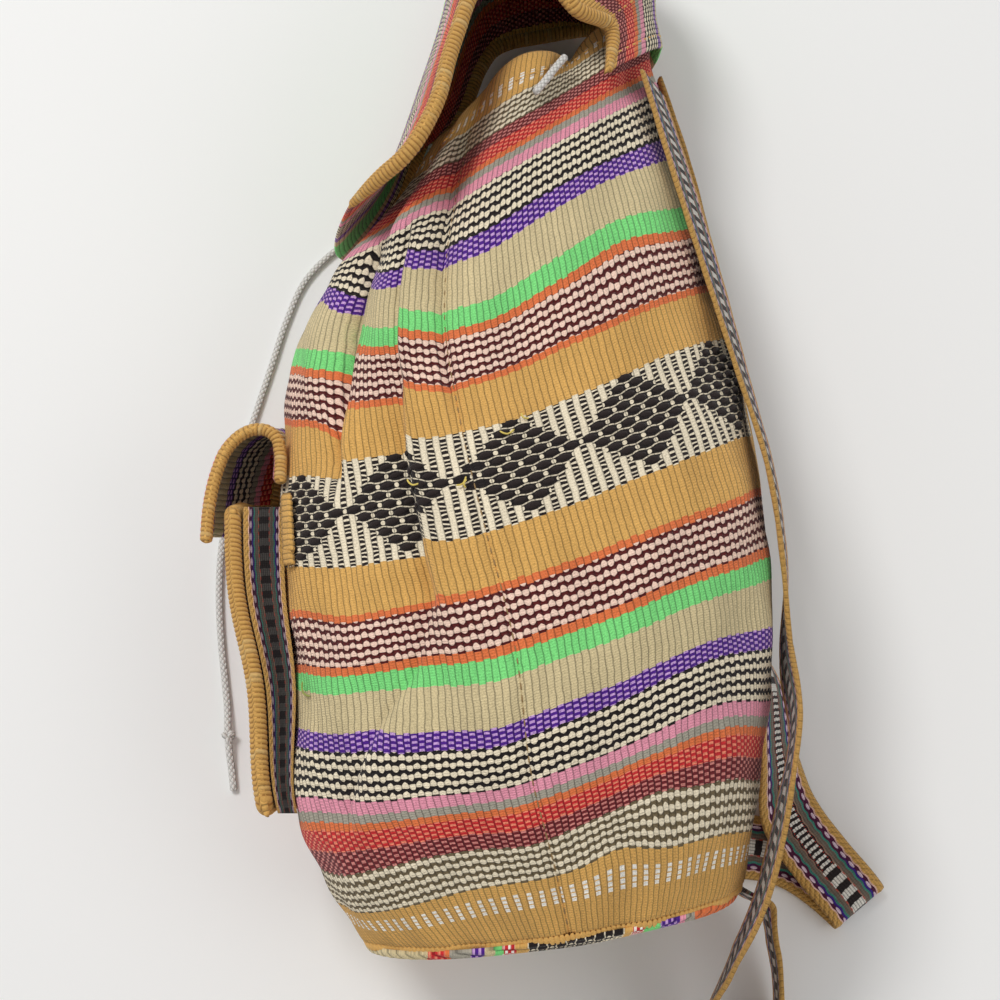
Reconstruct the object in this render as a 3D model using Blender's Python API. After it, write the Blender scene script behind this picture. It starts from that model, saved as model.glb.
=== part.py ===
"""A woven bucket backpack, lying on its side as it was put down.

+Z is up from the floor, +Y runs from the base of the bag to its mouth, and +X from its front
to its back, so the wearer's right side is uppermost. The origin is on the flat underside.
Lengths are in metres. A place on the bag's wall is given by its way round the bag, as a share
of the girth from the upper side seam towards the front, and by its way along the cloth from
the base seam."""
import math

import bpy
import bmesh
import numpy as np
from mathutils import Vector

# Body of the bag
WALL = 0.0026              # thickness of the woven cloth
CLOTH_LENGTH = 0.480       # base seam to mouth rim, along the cloth
SETTLE = 0.010             # how far the round section is pressed flat by the floor
ROUNDNESS = 2.3            # exponent of the body's section, 2 for an ellipse
BASE_LIFT = 0.014          # the base's lower edge curls up off the floor
MOUTH_LIFT = 0.004         # so does the mouth's
LIFT_REACH = 0.036         # length of cloth over which they curl
SEAM_AT_BASE = 0.07        # upper side seam at the base, as a share of half the width
SEAM_LEAN = -0.98          # its drift towards the front, for each metre of cloth
SEAM_GAP = 0.0010          # between the two wall panels, at each side seam
FIT_GAP = 0.0005           # between pieces that are sewn together
BAND_GAP = 0.0009          # between the pocket's panel and its side band, which is pieced
HEM_WIDTH = 0.028          # turned hem round the mouth, which holds the drawstring
HEM_RISE = 0.0012          # how far it stands proud of the wall

# Ribs of the weave, which run along the bag
RIBS_EACH_PANEL = 24
RIB_RISE = 0.0009
BASE_BULGE = 0.012         # how far the base panel is pushed out at its middle
BASE_RIBS = 9

# Sections of the body: way along the cloth, then front edge x and y, back edge x and y,
# height of the upper side, and how far that side has slid towards the base
SECTIONS = (
    (0.000, -0.064, -0.208, 0.113, -0.184, 0.120, 0.020),
    (0.035, -0.078, -0.190, 0.120, -0.160, 0.141, 0.017),
    (0.092, -0.097, -0.148, 0.129, -0.101, 0.158, 0.027),
    (0.157, -0.100, -0.085, 0.133, -0.028, 0.162, 0.037),
    (0.215, -0.108, -0.034, 0.129, 0.039, 0.157, 0.038),
    (0.265, -0.111, 0.023, 0.118, 0.098, 0.150, 0.040),
    (0.322, -0.110, 0.085, 0.108, 0.169, 0.143, 0.045),
    (0.388, -0.084, 0.149, 0.088, 0.257, 0.130, 0.038),
    (0.430, -0.056, 0.187, 0.082, 0.290, 0.126, 0.034),
    (0.480, -0.034, 0.226, 0.078, 0.315, 0.122, 0.036),
)

# Folds: way round the bag, where the fold starts and is full along the cloth, depth, half width
FOLDS = (
    (0.000, 0.285, 0.420, 0.0140, 0.0125),
    (0.092, 0.262, 0.350, 0.0110, 0.0120),
    (-0.125, 0.385, 0.480, 0.0170, 0.0145),
    (-0.215, 0.370, 0.480, 0.0080, 0.0120),
    (-0.300, 0.360, 0.480, 0.0100, 0.0130),
    (-0.400, 0.380, 0.480, 0.0080, 0.0125),
    (0.180, 0.360, 0.480, 0.0100, 0.0130),
    (0.270, 0.340, 0.480, 0.0080, 0.0130),
    (0.355, 0.370, 0.480, 0.0080, 0.0125),
    (0.450, 0.380, 0.480, 0.0080, 0.0125),
)
# Gathers of the neck: way round the bag, half width as a share of the girth, where the gather
# starts and is full along the cloth, and how far it draws the cloth in x, y and z
GATHERS = (
    (0.005, 0.045, 0.375, 0.440, -0.010, 0.000, -0.003),
    (-0.040, 0.036, 0.430, 0.480, -0.002, 0.008, 0.004),
    (-0.114, 0.026, 0.450, 0.480, 0.000, -0.008, -0.003),
)
TUCK_PLACE = 0.047         # a long crease beside the upper seam, way round the bag
TUCK_FROM = 0.110
TUCK_TO = 0.360
TUCK_DROP = 0.0055
TUCK_WIDTH = 0.010

# Stripes of the cloth from the base to the middle of the bag: width and colour.
# The second half mirrors the first.
STRIPES = (
    (0.035, "mustard"), (0.024, "olive_speckle"), (0.0185, "red"), (0.0145, "pink"),
    (0.0235, "black_speckle"), (0.0095, "purple"), (0.0215, "beige"), (0.011, "green"),
    (0.0325, "red_speckle"), (0.025, "mustard"), (0.050, "diamond"),
)
# Stripes of the base panel from the front to the back, as shares of its length
BASE_STRIPES = (
    (0.10, "beige"), (0.16, "red"), (0.22, "orange"), (0.29, "purple"), (0.36, "beige"),
    (0.42, "red"), (0.48, "mustard"), (0.66, "diamond"), (0.71, "mustard"), (0.76, "red"),
    (0.81, "green"), (0.87, "purple"), (0.93, "pink"), (1.00, "orange"),
)
COLOURS = {
    "mustard": (0.690, 0.398, 0.103), "beige": (0.642, 0.515, 0.268),
    "green": (0.212, 0.745, 0.212), "purple": (0.110, 0.020, 0.270),
    "orange": (0.745, 0.162, 0.051), "red": (0.500, 0.030, 0.030),
    "pink": (0.791, 0.347, 0.521), "black_speckle": (0.250, 0.210, 0.160),
    "red_speckle": (0.480, 0.250, 0.200), "olive_speckle": (0.350, 0.300, 0.200),
    "diamond": (0.090, 0.070, 0.055), "white": (0.850, 0.830, 0.780),
}

# Flap over the mouth
FLAP_LENGTH_ROWS = 22
FLAP_ROOT = 0.415          # where its lower edge is sewn to the back, along the cloth
FLAP_SEWN = 0.026          # length of cloth that is sewn down
FLAP_NEAR = -0.150         # its upper end round the bag
FLAP_FAR = -0.395          # its lower end round the bag
FLAP_ROLL = 0.0080         # thickness of the rolled edge
ROLL_FOOT = 1.25           # where a roll has met the flat cloth, in thicknesses of the roll
FLAP_STANDOFF = 0.0078     # middle of the flap's cloth above the wall, at the root
# Its upper edge, middle and lower edge, from behind the mouth round to the front
FLAP_GUIDES = (
    ((0.036, 0.252, 0.145), (0.080, 0.350, 0.085), (0.060, 0.372, 0.016)),
    ((0.016, 0.266, 0.160), (0.040, 0.378, 0.090), (0.030, 0.390, 0.016)),
    ((-0.008, 0.255, 0.163), (-0.008, 0.358, 0.090), (-0.012, 0.370, 0.016)),
    ((-0.023, 0.220, 0.160), (-0.036, 0.272, 0.082), (-0.040, 0.288, 0.017)),
    ((-0.032, 0.186, 0.156), (-0.058, 0.203, 0.074), (-0.058, 0.220, 0.019)),
    ((-0.046, 0.164, 0.149), (-0.072, 0.178, 0.069), (-0.070, 0.195, 0.018)),
    ((-0.060, 0.157, 0.138), (-0.081, 0.168, 0.066), (-0.079, 0.182, 0.017)),
    ((-0.076, 0.152, 0.120), (-0.090, 0.158, 0.062), (-0.087, 0.172, 0.017)),
)

# Pocket on the front
POCKET_NEAR = 0.165        # its upper edge round the bag, at the pocket's mouth
POCKET_FAR = 0.320         # its lower edge round the bag, there
POCKET_SKEW = 0.032        # how far both edges lie further round at the pocket's bottom
POCKET_BOTTOM = 0.088      # along the cloth
POCKET_TOP = 0.250
POCKET_DEPTH_TOP = 0.0215
POCKET_DEPTH_BOTTOM = 0.0095
POCKET_EASE = 0.15         # share of the change in depth that lies below its bottom
POCKET_FLATTEN = 0.006     # how much nearer the panel's middle is than its edges
POCKET_ROLL = 0.0080       # thickness of the rolled edge
GUSSET_SAG = 0.004         # how far the side band hangs between its edges
GUSSET_THICKNESS = 0.0022
# Where its flap is sewn to the wall, along the cloth
POCKET_FLAP_SEWN = (POCKET_TOP + 0.012, POCKET_TOP + 0.028)
POCKET_FLAP_STANDOFF = 0.0037   # middle of its cloth above the wall
POCKET_FLAP_ROLL = 0.0060
# Its run from there, as steps away from the wall and towards the mouth
POCKET_FLAP_RUN = (
    (0.002, 0.007), (0.009, 0.012), (0.018, 0.010), (0.026, 0.002), (0.031, -0.012),
    (0.0335, -0.028), (0.034, -0.048),
)

# Shoulder straps
BAND_WIDTH = 0.033
BAND_THICKNESS = 0.0024
STRAP_TOP = 0.392          # where both are sewn to the back, along the cloth
STRAP_NEAR_PLACE = -0.235  # way round the bag
STRAP_FAR_PLACE = -0.330
STRAP_NEAR_STANDOFF = 0.0012       # what each flat band needs to clear the round wall
STRAP_FAR_STANDOFF = 0.0001
STRAP_SLACK = 0.004        # how much further off the wall they are at the lower end
STRAP_LOOSE = 0.150        # where they leave the wall, along the cloth
# Free run of each strap: centre of the band, then the direction of its width
STRAP_NEAR_RUN = (
    ((0.1385, -0.080, 0.090), (0.0, 0.1, 1.0)),
    ((0.1385, -0.118, 0.104), (0.0, 0.2, 1.0)),
    ((0.1325, -0.148, 0.104), (0.05, 0.1, 1.0)),
    ((0.1275, -0.172, 0.095), (0.05, -0.1, 1.0)),
    ((0.1210, -0.196, 0.080), (0.0, -0.25, 1.0)),
    ((0.1100, -0.221, 0.058), (-0.1, -0.3, 1.0)),
    ((0.1005, -0.246, 0.034), (-0.15, -0.1, 1.0)),
    ((0.1030, -0.270, 0.021), (0.0, 0.0, 1.0)),
    ((0.1180, -0.280, 0.018), (0.0, 0.0, 1.0)),
    ((0.1325, -0.268, 0.018), (0.0, 0.0, 1.0)),
    ((0.1365, -0.240, 0.021), (-0.05, 0.0, 1.0)),
    ((0.1345, -0.212, 0.028), (-0.05, 0.1, 1.0)),
    ((0.1290, -0.192, 0.035), (-0.1, 0.1, 1.0)),
    ((0.1190, -0.1850, 0.041), (-0.2, 0.0, 1.0)),
)
STRAP_FAR_RUN = (
    ((0.1400, -0.080, 0.033), (-0.50, 0.0, 1.0)),
    ((0.1430, -0.118, 0.024), (-0.75, -0.3, 0.75)),
    ((0.1490, -0.144, 0.0130), (-0.80, -0.6, 0.12)),
    ((0.1640, -0.1665, 0.0105), (-0.785, -0.62, 0.0)),
    ((0.1800, -0.1868, 0.0098), (-0.785, -0.62, 0.0)),
    ((0.1816, -0.1888, 0.0087), (-0.785, -0.62, 0.0)),
    ((0.1823, -0.1897, 0.0061), (-0.785, -0.62, 0.0)),
    ((0.1816, -0.1888, 0.0035), (-0.785, -0.62, 0.0)),
    ((0.1800, -0.1868, 0.0024), (-0.785, -0.62, 0.0)),
    ((0.1690, -0.1765, 0.0024), (-0.70, -0.71, 0.0)),
    ((0.1500, -0.1640, 0.0024), (-0.50, -0.86, 0.0)),
    ((0.1300, -0.1590, 0.0026), (-0.15, -1.0, 0.0)),
    ((0.1130, -0.1590, 0.0050), (0.0, -1.0, 0.0)),
)

# Drawstring
CORD_DIAMETER = 0.004
KNOT_DIAMETER = 0.009
CORD_STEP = 0.010
# Free tail from the front of the hem, down the neck and along the floor to its cut end
TAIL_ROUTE = (
    (-0.0383, 0.2285, 0.0510), (-0.0420, 0.2262, 0.0400), (-0.0450, 0.2245, 0.0270),
    (-0.0480, 0.2225, 0.0140), (-0.0530, 0.2190, 0.0055), (-0.0610, 0.2130, 0.0024),
    (-0.0720, 0.2050, 0.0021), (-0.0850, 0.1960, 0.0021),
    (-0.0980, 0.1860, 0.0021), (-0.1130, 0.1680, 0.0021), (-0.1230, 0.1420, 0.0021),
    (-0.1300, 0.1150, 0.0021), (-0.1370, 0.0880, 0.0021), (-0.1440, 0.0600, 0.0021),
    (-0.1500, 0.0300, 0.0021), (-0.1530, 0.0000, 0.0021), (-0.1525, -0.0260, 0.0021),
    (-0.1500, -0.0500, 0.0021), (-0.1470, -0.0700, 0.0021), (-0.1444, -0.0880, 0.0030),
    (-0.1436, -0.0971, 0.0045),
)
TAIL_END = ((-0.1425, -0.1069, 0.0045), (-0.1408, -0.1180, 0.0023), (-0.1390, -0.1300, 0.0021))
KNOT_PLACE = (-0.1430, -0.1020, 0.0045)
STUB_ROUTE = ((0.0285, 0.2255, 0.1300), (0.0240, 0.2175, 0.1322), (0.0180, 0.2078, 0.1346))


for old in list(bpy.data.objects):
    bpy.data.objects.remove(old, do_unlink=True)


def material(name, colour, roughness=0.95):
    found = bpy.data.materials.get(name)
    if found:
        return found
    made = bpy.data.materials.new(name)
    made.use_nodes = True
    shader = made.node_tree.nodes["Principled BSDF"]
    shader.inputs["Base Color"].default_value = (*colour, 1.0)
    shader.inputs["Roughness"].default_value = roughness
    shader.inputs["Metallic"].default_value = 0.0
    return made


def smooth_step(value):
    value = min(max(value, 0.0), 1.0)
    return value * value * (3.0 - 2.0 * value)


def along_curve(stops, columns, place):
    """Cubic interpolation through the columns' values, which are given at the stops."""
    stops = np.asarray(stops, dtype=float)
    columns = np.asarray(columns, dtype=float)
    slopes = np.gradient(columns, stops, axis=0)
    i = int(np.clip(np.searchsorted(stops, place) - 1, 0, len(stops) - 2))
    span = stops[i + 1] - stops[i]
    t = (place - stops[i]) / span
    return ((2 * t**3 - 3 * t**2 + 1) * columns[i] + (t**3 - 2 * t**2 + t) * span * slopes[i]
            + (3 * t**2 - 2 * t**3) * columns[i + 1] + (t**3 - t**2) * span * slopes[i + 1])


def through(points, count):
    """Evenly spaced points on a smooth curve through the given ones, of any dimension."""
    points = np.asarray(points, dtype=float)
    steps = np.linalg.norm(np.diff(points[:, :3], axis=0), axis=1)
    stops = np.concatenate(([0.0], np.cumsum(steps)))
    fine = np.array([along_curve(stops, points, s) for s in np.linspace(0.0, stops[-1], 400)])
    run = np.concatenate(([0.0], np.cumsum(np.linalg.norm(np.diff(fine[:, :3], axis=0), axis=1))))
    wanted = np.linspace(0.0, run[-1], count)
    return np.array([np.interp(wanted, run, fine[:, k]) for k in range(fine.shape[1])]).T


class Section:
    """The bag's section at one place along its cloth, as an outline in x and z."""

    def __init__(self, place):
        self.place = place
        stops = [row[0] for row in SECTIONS]
        values = along_curve(stops, [row[1:] for row in SECTIONS], place)
        self.front_x, self.front_y, self.back_x, self.back_y, self.top, self.slump = values
        curl = max(0.0, 1.0 - place / LIFT_REACH) ** 2 * (BASE_LIFT + SETTLE)
        rim = max(0.0, 1.0 - (CLOTH_LENGTH - place) / LIFT_REACH) ** 2 * (MOUTH_LIFT + SETTLE)
        self.low = -SETTLE + curl + rim
        self.mid_x = (self.front_x + self.back_x) / 2
        self.half_x = (self.back_x - self.front_x) / 2
        self.mid_z = (self.top + self.low) / 2
        self.half_z = (self.top - self.low) / 2
        angle = np.linspace(0.0, 2 * math.pi, 1441)
        c, s = np.cos(angle), np.sin(angle)
        x = self.mid_x + self.half_x * np.sign(c) * np.abs(c) ** (2 / ROUNDNESS)
        z = self.mid_z + self.half_z * np.sign(s) * np.abs(s) ** (2 / ROUNDNESS)
        run = np.concatenate(([0.0], np.cumsum(np.hypot(np.diff(x), np.diff(np.maximum(z, 0.0))))))
        self.girth = run[-1]
        seam_share = SEAM_AT_BASE + SEAM_LEAN * place
        upper = (angle > 0.3) & (angle < math.pi - 0.3)
        start = np.interp(-(self.mid_x + seam_share * self.half_x), -x[upper], run[upper])
        self.run, self.x, self.z, self.start = run, x, z, start

    def outline(self, share):
        """Point of the unfolded outline and its outward direction, at a share of the girth."""
        at = (self.start + share * self.girth) % self.girth
        x = np.interp(at, self.run, self.x)
        z = np.interp(at, self.run, self.z)
        across = (x - self.mid_x) / self.half_x
        up = (z - self.mid_z) / self.half_z
        normal = np.array((np.sign(across) * abs(across) ** (ROUNDNESS - 1) / self.half_x,
                           np.sign(up) * abs(up) ** (ROUNDNESS - 1) / self.half_z))
        return x, z, normal / np.linalg.norm(normal)

    def y_at(self, x, z):
        """The section leans, and its upper side has slid towards the base."""
        share = (x - self.front_x) / (self.back_x - self.front_x)
        up = (z - self.mid_z) / self.half_z
        slide = self.slump * (up if up > 0 else 0.5 * up)
        return self.front_y + (self.back_y - self.front_y) * share - slide


sections = {}


def section(place):
    key = round(place, 6)
    if key not in sections:
        sections[key] = Section(place)
    return sections[key]


def fold_depth(share, place, girth):
    """How far the folds and the tuck draw the wall in at this place."""
    depth = 0.0
    for way, start, full, deep, half_width in FOLDS:
        gap = (share - way + 0.5) % 1.0 - 0.5
        far = gap * girth / half_width
        grown = smooth_step((place - start) / (full - start))
        depth += grown * deep * (math.exp(-far * far) - 0.30 * math.exp(-(abs(far) - 2.0) ** 2))
    into = (share - TUCK_PLACE) * girth / TUCK_WIDTH
    if 0.0 < share < 0.5:
        fade = smooth_step((place - TUCK_FROM) / 0.05) * smooth_step((TUCK_TO - place) / 0.06)
        depth += TUCK_DROP * fade * smooth_step(0.5 + into) * (1.0 - smooth_step((share - 0.07) / 0.10))
    return depth


def gathered(share, place):
    """How far the drawstring has pulled the neck's cloth along at this place."""
    pull = Vector((0.0, 0.0, 0.0))
    for way, half_width, start, full, *reach in GATHERS:
        gap = ((share - way + 0.5) % 1.0 - 0.5) / half_width
        pull += Vector(reach) * (math.exp(-gap * gap) * smooth_step((place - start) / (full - start)))
    return pull


def hem_rise(place):
    return HEM_RISE * smooth_step((place - (CLOTH_LENGTH - HEM_WIDTH)) / 0.008)


def wall_point(share, place, out=0.0, folded=True):
    """A point at a distance out from the wall's outer face, never under the floor."""
    ring = section(place)
    x, z, normal = ring.outline(share)
    push = out
    if folded:
        push += hem_rise(place) - fold_depth(share, place, ring.girth)
    px = x + normal[0] * push
    pz = z + normal[1] * push
    point = Vector((px, ring.y_at(px, pz), max(pz, 0.0, -out)))
    return point + gathered(share, place) if folded else point


def solid(name, outer, inner, row_step=1, column_step=1, stripes=None, colours=("mustard",)):
    """A closed shell between two grids of points. The inner grid may be coarser by whole steps."""
    mesh = bpy.data.meshes.new(name)
    obj = bpy.data.objects.new(name, mesh)
    bpy.context.scene.collection.objects.link(obj)
    for colour in colours:
        mesh.materials.append(material(colour, COLOURS[colour]))
    bm = bmesh.new()
    out = [[bm.verts.new(p) for p in row] for row in outer]
    ins = [[bm.verts.new(p) for p in row] for row in inner]
    rows, columns = len(out), len(out[0])
    last_row, last_column = len(ins) - 1, len(ins[0]) - 1

    def face(verts, i, j):
        made = bm.faces.new(verts)
        made.material_index = stripes(i, j) if stripes else 0

    for i in range(rows - 1):
        for j in range(columns - 1):
            face((out[i][j], out[i][j + 1], out[i + 1][j + 1], out[i + 1][j]), i, j)
    for i in range(last_row):
        for j in range(last_column):
            face((ins[i][j], ins[i + 1][j], ins[i + 1][j + 1], ins[i][j + 1]), i * row_step, j * column_step)
    for i, end in ((0, 0), (last_row, rows - 1)):
        for j in range(last_column):
            rim = [out[end][k] for k in range(j * column_step, (j + 1) * column_step + 1)]
            face(rim + [ins[i][j + 1], ins[i][j]], min(end, rows - 2), j * column_step)
    for j, end in ((0, 0), (last_column, columns - 1)):
        for i in range(last_row):
            rim = [out[k][end] for k in range(i * row_step, (i + 1) * row_step + 1)]
            face(rim + [ins[i + 1][j], ins[i][j]], i * row_step, min(end, columns - 2))
    bmesh.ops.recalc_face_normals(bm, faces=bm.faces)
    bm.to_mesh(mesh)
    bm.free()
    return obj


# Wall of the bag: two panels of striped cloth, with ribs along the bag
half = [width for width, _ in STRIPES]
widths = half[:-1] + [half[-1] / 2, half[-1] / 2] + half[:-1][::-1]
names = [colour for _, colour in STRIPES] + [colour for _, colour in STRIPES][::-1]
PLACES = list(np.cumsum([0.0] + widths) * CLOTH_LENGTH / sum(widths))
PLACES[-1:] = [CLOTH_LENGTH - HEM_WIDTH, CLOTH_LENGTH - HEM_WIDTH / 2, CLOTH_LENGTH]
names += [names[-1], names[-1]]
wall_colours = tuple(dict.fromkeys(names))
columns_each = 2 * RIBS_EACH_PANEL


def wall_panel(name, first, last):
    outer, inner = [], []
    for i, place in enumerate(PLACES):
        gap = SEAM_GAP / 2 / section(place).girth
        shares = np.linspace(first + gap, last - gap, columns_each + 1)
        outer.append([wall_point(share, place, RIB_RISE * (j % 2)) for j, share in enumerate(shares)])
        inner.append([wall_point(share, place, -WALL) for share in shares[::2]])
    return solid(name, outer, inner, 1, 2, lambda i, j: wall_colours.index(names[i]), wall_colours)


front_panel = wall_panel("front_panel", 0.0, 0.5)
back_panel = wall_panel("back_panel", -0.5, 0.0)


# Base: an oval of the same cloth with its stripes turned, sewn in round the base seam
def base_panel():
    ring = section(0.0)
    colours = tuple(dict.fromkeys(colour for _, colour in BASE_STRIPES))
    reach = 0.985
    stops = np.array([0.0] + [end for end, _ in BASE_STRIPES]) * 2 * reach - reach
    outer, inner = [], []
    for across in stops:
        tall = (1.0 - abs(across) ** ROUNDNESS) ** (1 / ROUNDNESS)
        rows = ([], [])
        for k, up in enumerate(np.linspace(-1.0, 1.0, 2 * BASE_RIBS + 1)):
            x = ring.mid_x + across * ring.half_x
            z = ring.mid_z + up * tall * ring.half_z
            bulge = BASE_BULGE * (1.0 - across**2) * (1.0 - up**2)
            y = ring.y_at(x, z) - FIT_GAP - bulge
            rows[0].append(Vector((x, y - WALL - RIB_RISE * (k % 2), z)))
            if k % 2 == 0:
                rows[1].append(Vector((x, y, z)))
        outer.append(rows[0])
        inner.append(rows[1])
    return solid("base_panel", outer, inner, 1, 2,
                 lambda i, j: colours.index(BASE_STRIPES[i][1]), colours)


base_panel()


# Flap: sewn to the back of the neck, over the mouth and down the front, with rolled edges
def roll_profile(width, roll):
    """Places across a strip and its thickness there, with a round roll along both edges."""
    near = ((0.0, 0.45), (0.30, 1.0), (0.80, 1.0))
    places = [(share * roll, part * roll) for share, part in near] + [(ROLL_FOOT * roll, WALL)]
    inside = [(width * share, WALL) for share in (0.3, 0.5, 0.7)]
    return places + inside + [(width - place, thick) for place, thick in places[::-1]]


STRIP_ORDER = (0, 0, 0, 1, 2, 3, 4, 0, 0, 0)


def strip_solid(name, rows, widths_at, roll, colours, stripes, rib=0.0):
    """A cloth strip. Each row is a function of the share across, as a point and a direction."""
    outer, inner = [], []
    for i, (row, width) in enumerate(zip(rows, widths_at)):
        out_row, in_row = [], []
        for place, thick in roll_profile(width, roll):
            point, out = row(place / width)
            out_row.append(point + out * (thick / 2 + rib * (i % 2)))
            in_row.append(point - out * (thick / 2))
        outer.append(out_row)
        inner.append(in_row)
    return solid(name, outer, inner, 1, 1, stripes, colours)


def main_flap():
    guides = through([[*upper, *middle, *lower] for upper, middle, lower in FLAP_GUIDES], FLAP_LENGTH_ROWS)

    def root(place):
        def row(share):
            way = FLAP_NEAR + (FLAP_FAR - FLAP_NEAR) * share
            return wall_point(way, place, FLAP_STANDOFF, folded=False)
        return row

    def guide(i):
        def row(share):
            a, b, c = guides[i, 0:3], guides[i, 3:6], guides[i, 6:9]
            point = (a * (1 - share) * (1 - 2 * share) + 4 * b * share * (1 - share)
                     + c * share * (2 * share - 1))
            return Vector(point)
        return row

    places = [root(FLAP_ROOT), root(FLAP_ROOT + FLAP_SEWN)] + [guide(i) for i in range(FLAP_LENGTH_ROWS)]
    shares = np.linspace(0.0, 1.0, 25)
    grid = [[row(share) for share in shares] for row in places]

    def framed(i):
        def row(share):
            at = share * (len(shares) - 1)
            j = min(int(at), len(shares) - 2)
            point = grid[i][j].lerp(grid[i][j + 1], at - j)
            before, after = grid[max(i - 1, 0)][j], grid[min(i + 1, len(grid) - 1)][j]
            across = grid[i][min(j + 2, len(shares) - 1)] - grid[i][max(j - 1, 0)]
            return point, across.cross(after - before).normalized() * -1.0
        return row

    widths_at = [sum((row[j + 1] - row[j]).length for j in range(len(shares) - 1)) for row in grid]
    colours = ("mustard", "pink", "red", "purple", "olive_speckle")
    return strip_solid("main_flap", [framed(i) for i in range(len(grid))], widths_at, FLAP_ROLL,
                       colours, lambda i, j: STRIP_ORDER[min(j, 9)], RIB_RISE / 2)


main_flap()


# Front pocket: a panel with rolled edges, held off the bag by a woven side band
def pocket_depth(place):
    share = (place - POCKET_BOTTOM) / (POCKET_TOP - POCKET_BOTTOM)
    return POCKET_DEPTH_BOTTOM + (POCKET_DEPTH_TOP - POCKET_DEPTH_BOTTOM) * smooth_step(POCKET_EASE + (1.0 - POCKET_EASE) * share)


def pocket_edges(place):
    skew = POCKET_SKEW * (POCKET_TOP - place) / (POCKET_TOP - POCKET_BOTTOM)
    return POCKET_NEAR + skew, POCKET_FAR + skew


def pocket_front():
    girth = section((POCKET_TOP + POCKET_BOTTOM) / 2).girth
    width = (POCKET_FAR - POCKET_NEAR) * girth
    height = POCKET_TOP - POCKET_BOTTOM
    thin = 0.5 * POCKET_ROLL
    outer, inner = [], []
    for rise, thick_along in roll_profile(height, POCKET_ROLL):
        place = POCKET_BOTTOM + rise
        near, far = pocket_edges(place)
        out_row, in_row = [], []
        for run, thick_across in roll_profile(width, POCKET_ROLL):
            edge = rise in (0.0, height) or run in (0.0, width)
            thick = min(thin, max(thick_along, thick_across)) if edge else max(thick_along, thick_across)
            share = run / width
            base = wall_point(near + (far - near) * share, place, FIT_GAP + RIB_RISE, folded=False)
            depth = (pocket_depth(place) + POCKET_ROLL / 2
                     - POCKET_FLATTEN * math.sin(math.pi * share))
            out_row.append(base + Vector((-depth - thick / 2, 0, 0)))
            in_row.append(base + Vector((-depth + thick / 2, 0, 0)))
        outer.append(out_row)
        inner.append(in_row)
    colours = ("mustard", "pink", "red", "purple", "green")
    return solid("pocket_front", outer, inner, 1, 1, lambda i, j: STRIP_ORDER[min(j, 9)], colours)


pocket_front()


def pocket_gusset():
    girth = section((POCKET_TOP + POCKET_BOTTOM) / 2).girth
    steps = 7

    def path(margin):
        """Down the upper edge, across the bottom and up the lower edge, and how far it hangs."""
        inset = margin / girth
        low = POCKET_BOTTOM + margin
        rises = [low + (POCKET_TOP - low) * k / steps for k in range(steps, 0, -1)]
        down = [(pocket_edges(p)[0] + inset, p, math.sin(math.pi * (p - low) / (POCKET_TOP - low)))
                for p in rises]
        near, far = pocket_edges(low)
        over = [(near + inset + (far - near - 2 * inset) * k / steps, low, 0.0) for k in range(steps + 1)]
        up = [(pocket_edges(p)[1] - inset, p, 0.0) for p in rises[::-1]]
        return down + over + up

    def band(margin):
        rows = []
        for share, place, hang in path(margin):
            base = wall_point(share, place, FIT_GAP + RIB_RISE, folded=False)
            near, far = pocket_edges(place)
            across = (share - near) / (far - near)
            reach = pocket_depth(place) - BAND_GAP - POCKET_FLATTEN * math.sin(math.pi * across)
            rows.append([base + Vector((-reach * k / 4, 0, -GUSSET_SAG * hang * math.sin(math.pi * k / 4)))
                         for k in range(5)])
        return rows

    colours = ("mustard", "purple", "white", "purple")
    return solid("pocket_gusset", band(0.002), band(0.002 + GUSSET_THICKNESS), 1, 1,
                 lambda i, j: j, colours)


pocket_gusset()


def pocket_flap():
    first, last = POCKET_FLAP_SEWN
    run = [Vector((-dx, dy, 0.0)) for dx, dy in [(0.0, 0.0), *POCKET_FLAP_RUN]]
    steps = [Vector(p) for p in through(run, 14)]
    near, far = pocket_edges(first)
    rows = []
    for place, step in [(first, steps[0])] + [(last, step) for step in steps]:
        rows.append([wall_point(near + (far - near) * k / 12, place, POCKET_FLAP_STANDOFF, folded=False)
                     + step for k in range(13)])

    def framed(i):
        def row(share):
            at = share * 12
            j = min(int(at), 11)
            point = rows[i][j].lerp(rows[i][j + 1], at - j)
            along = rows[min(i + 1, len(rows) - 1)][j] - rows[max(i - 1, 0)][j]
            across = rows[i][min(j + 2, 12)] - rows[i][max(j - 1, 0)]
            return point, along.cross(across).normalized()
        return row

    widths_at = [sum((row[j + 1] - row[j]).length for j in range(12)) for row in rows]
    colours = ("mustard", "pink", "red", "beige", "purple")
    return strip_solid("pocket_flap", [framed(i) for i in range(len(rows))], widths_at,
                       POCKET_FLAP_ROLL, colours, lambda i, j: STRIP_ORDER[min(j, 9)])


pocket_flap()


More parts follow.
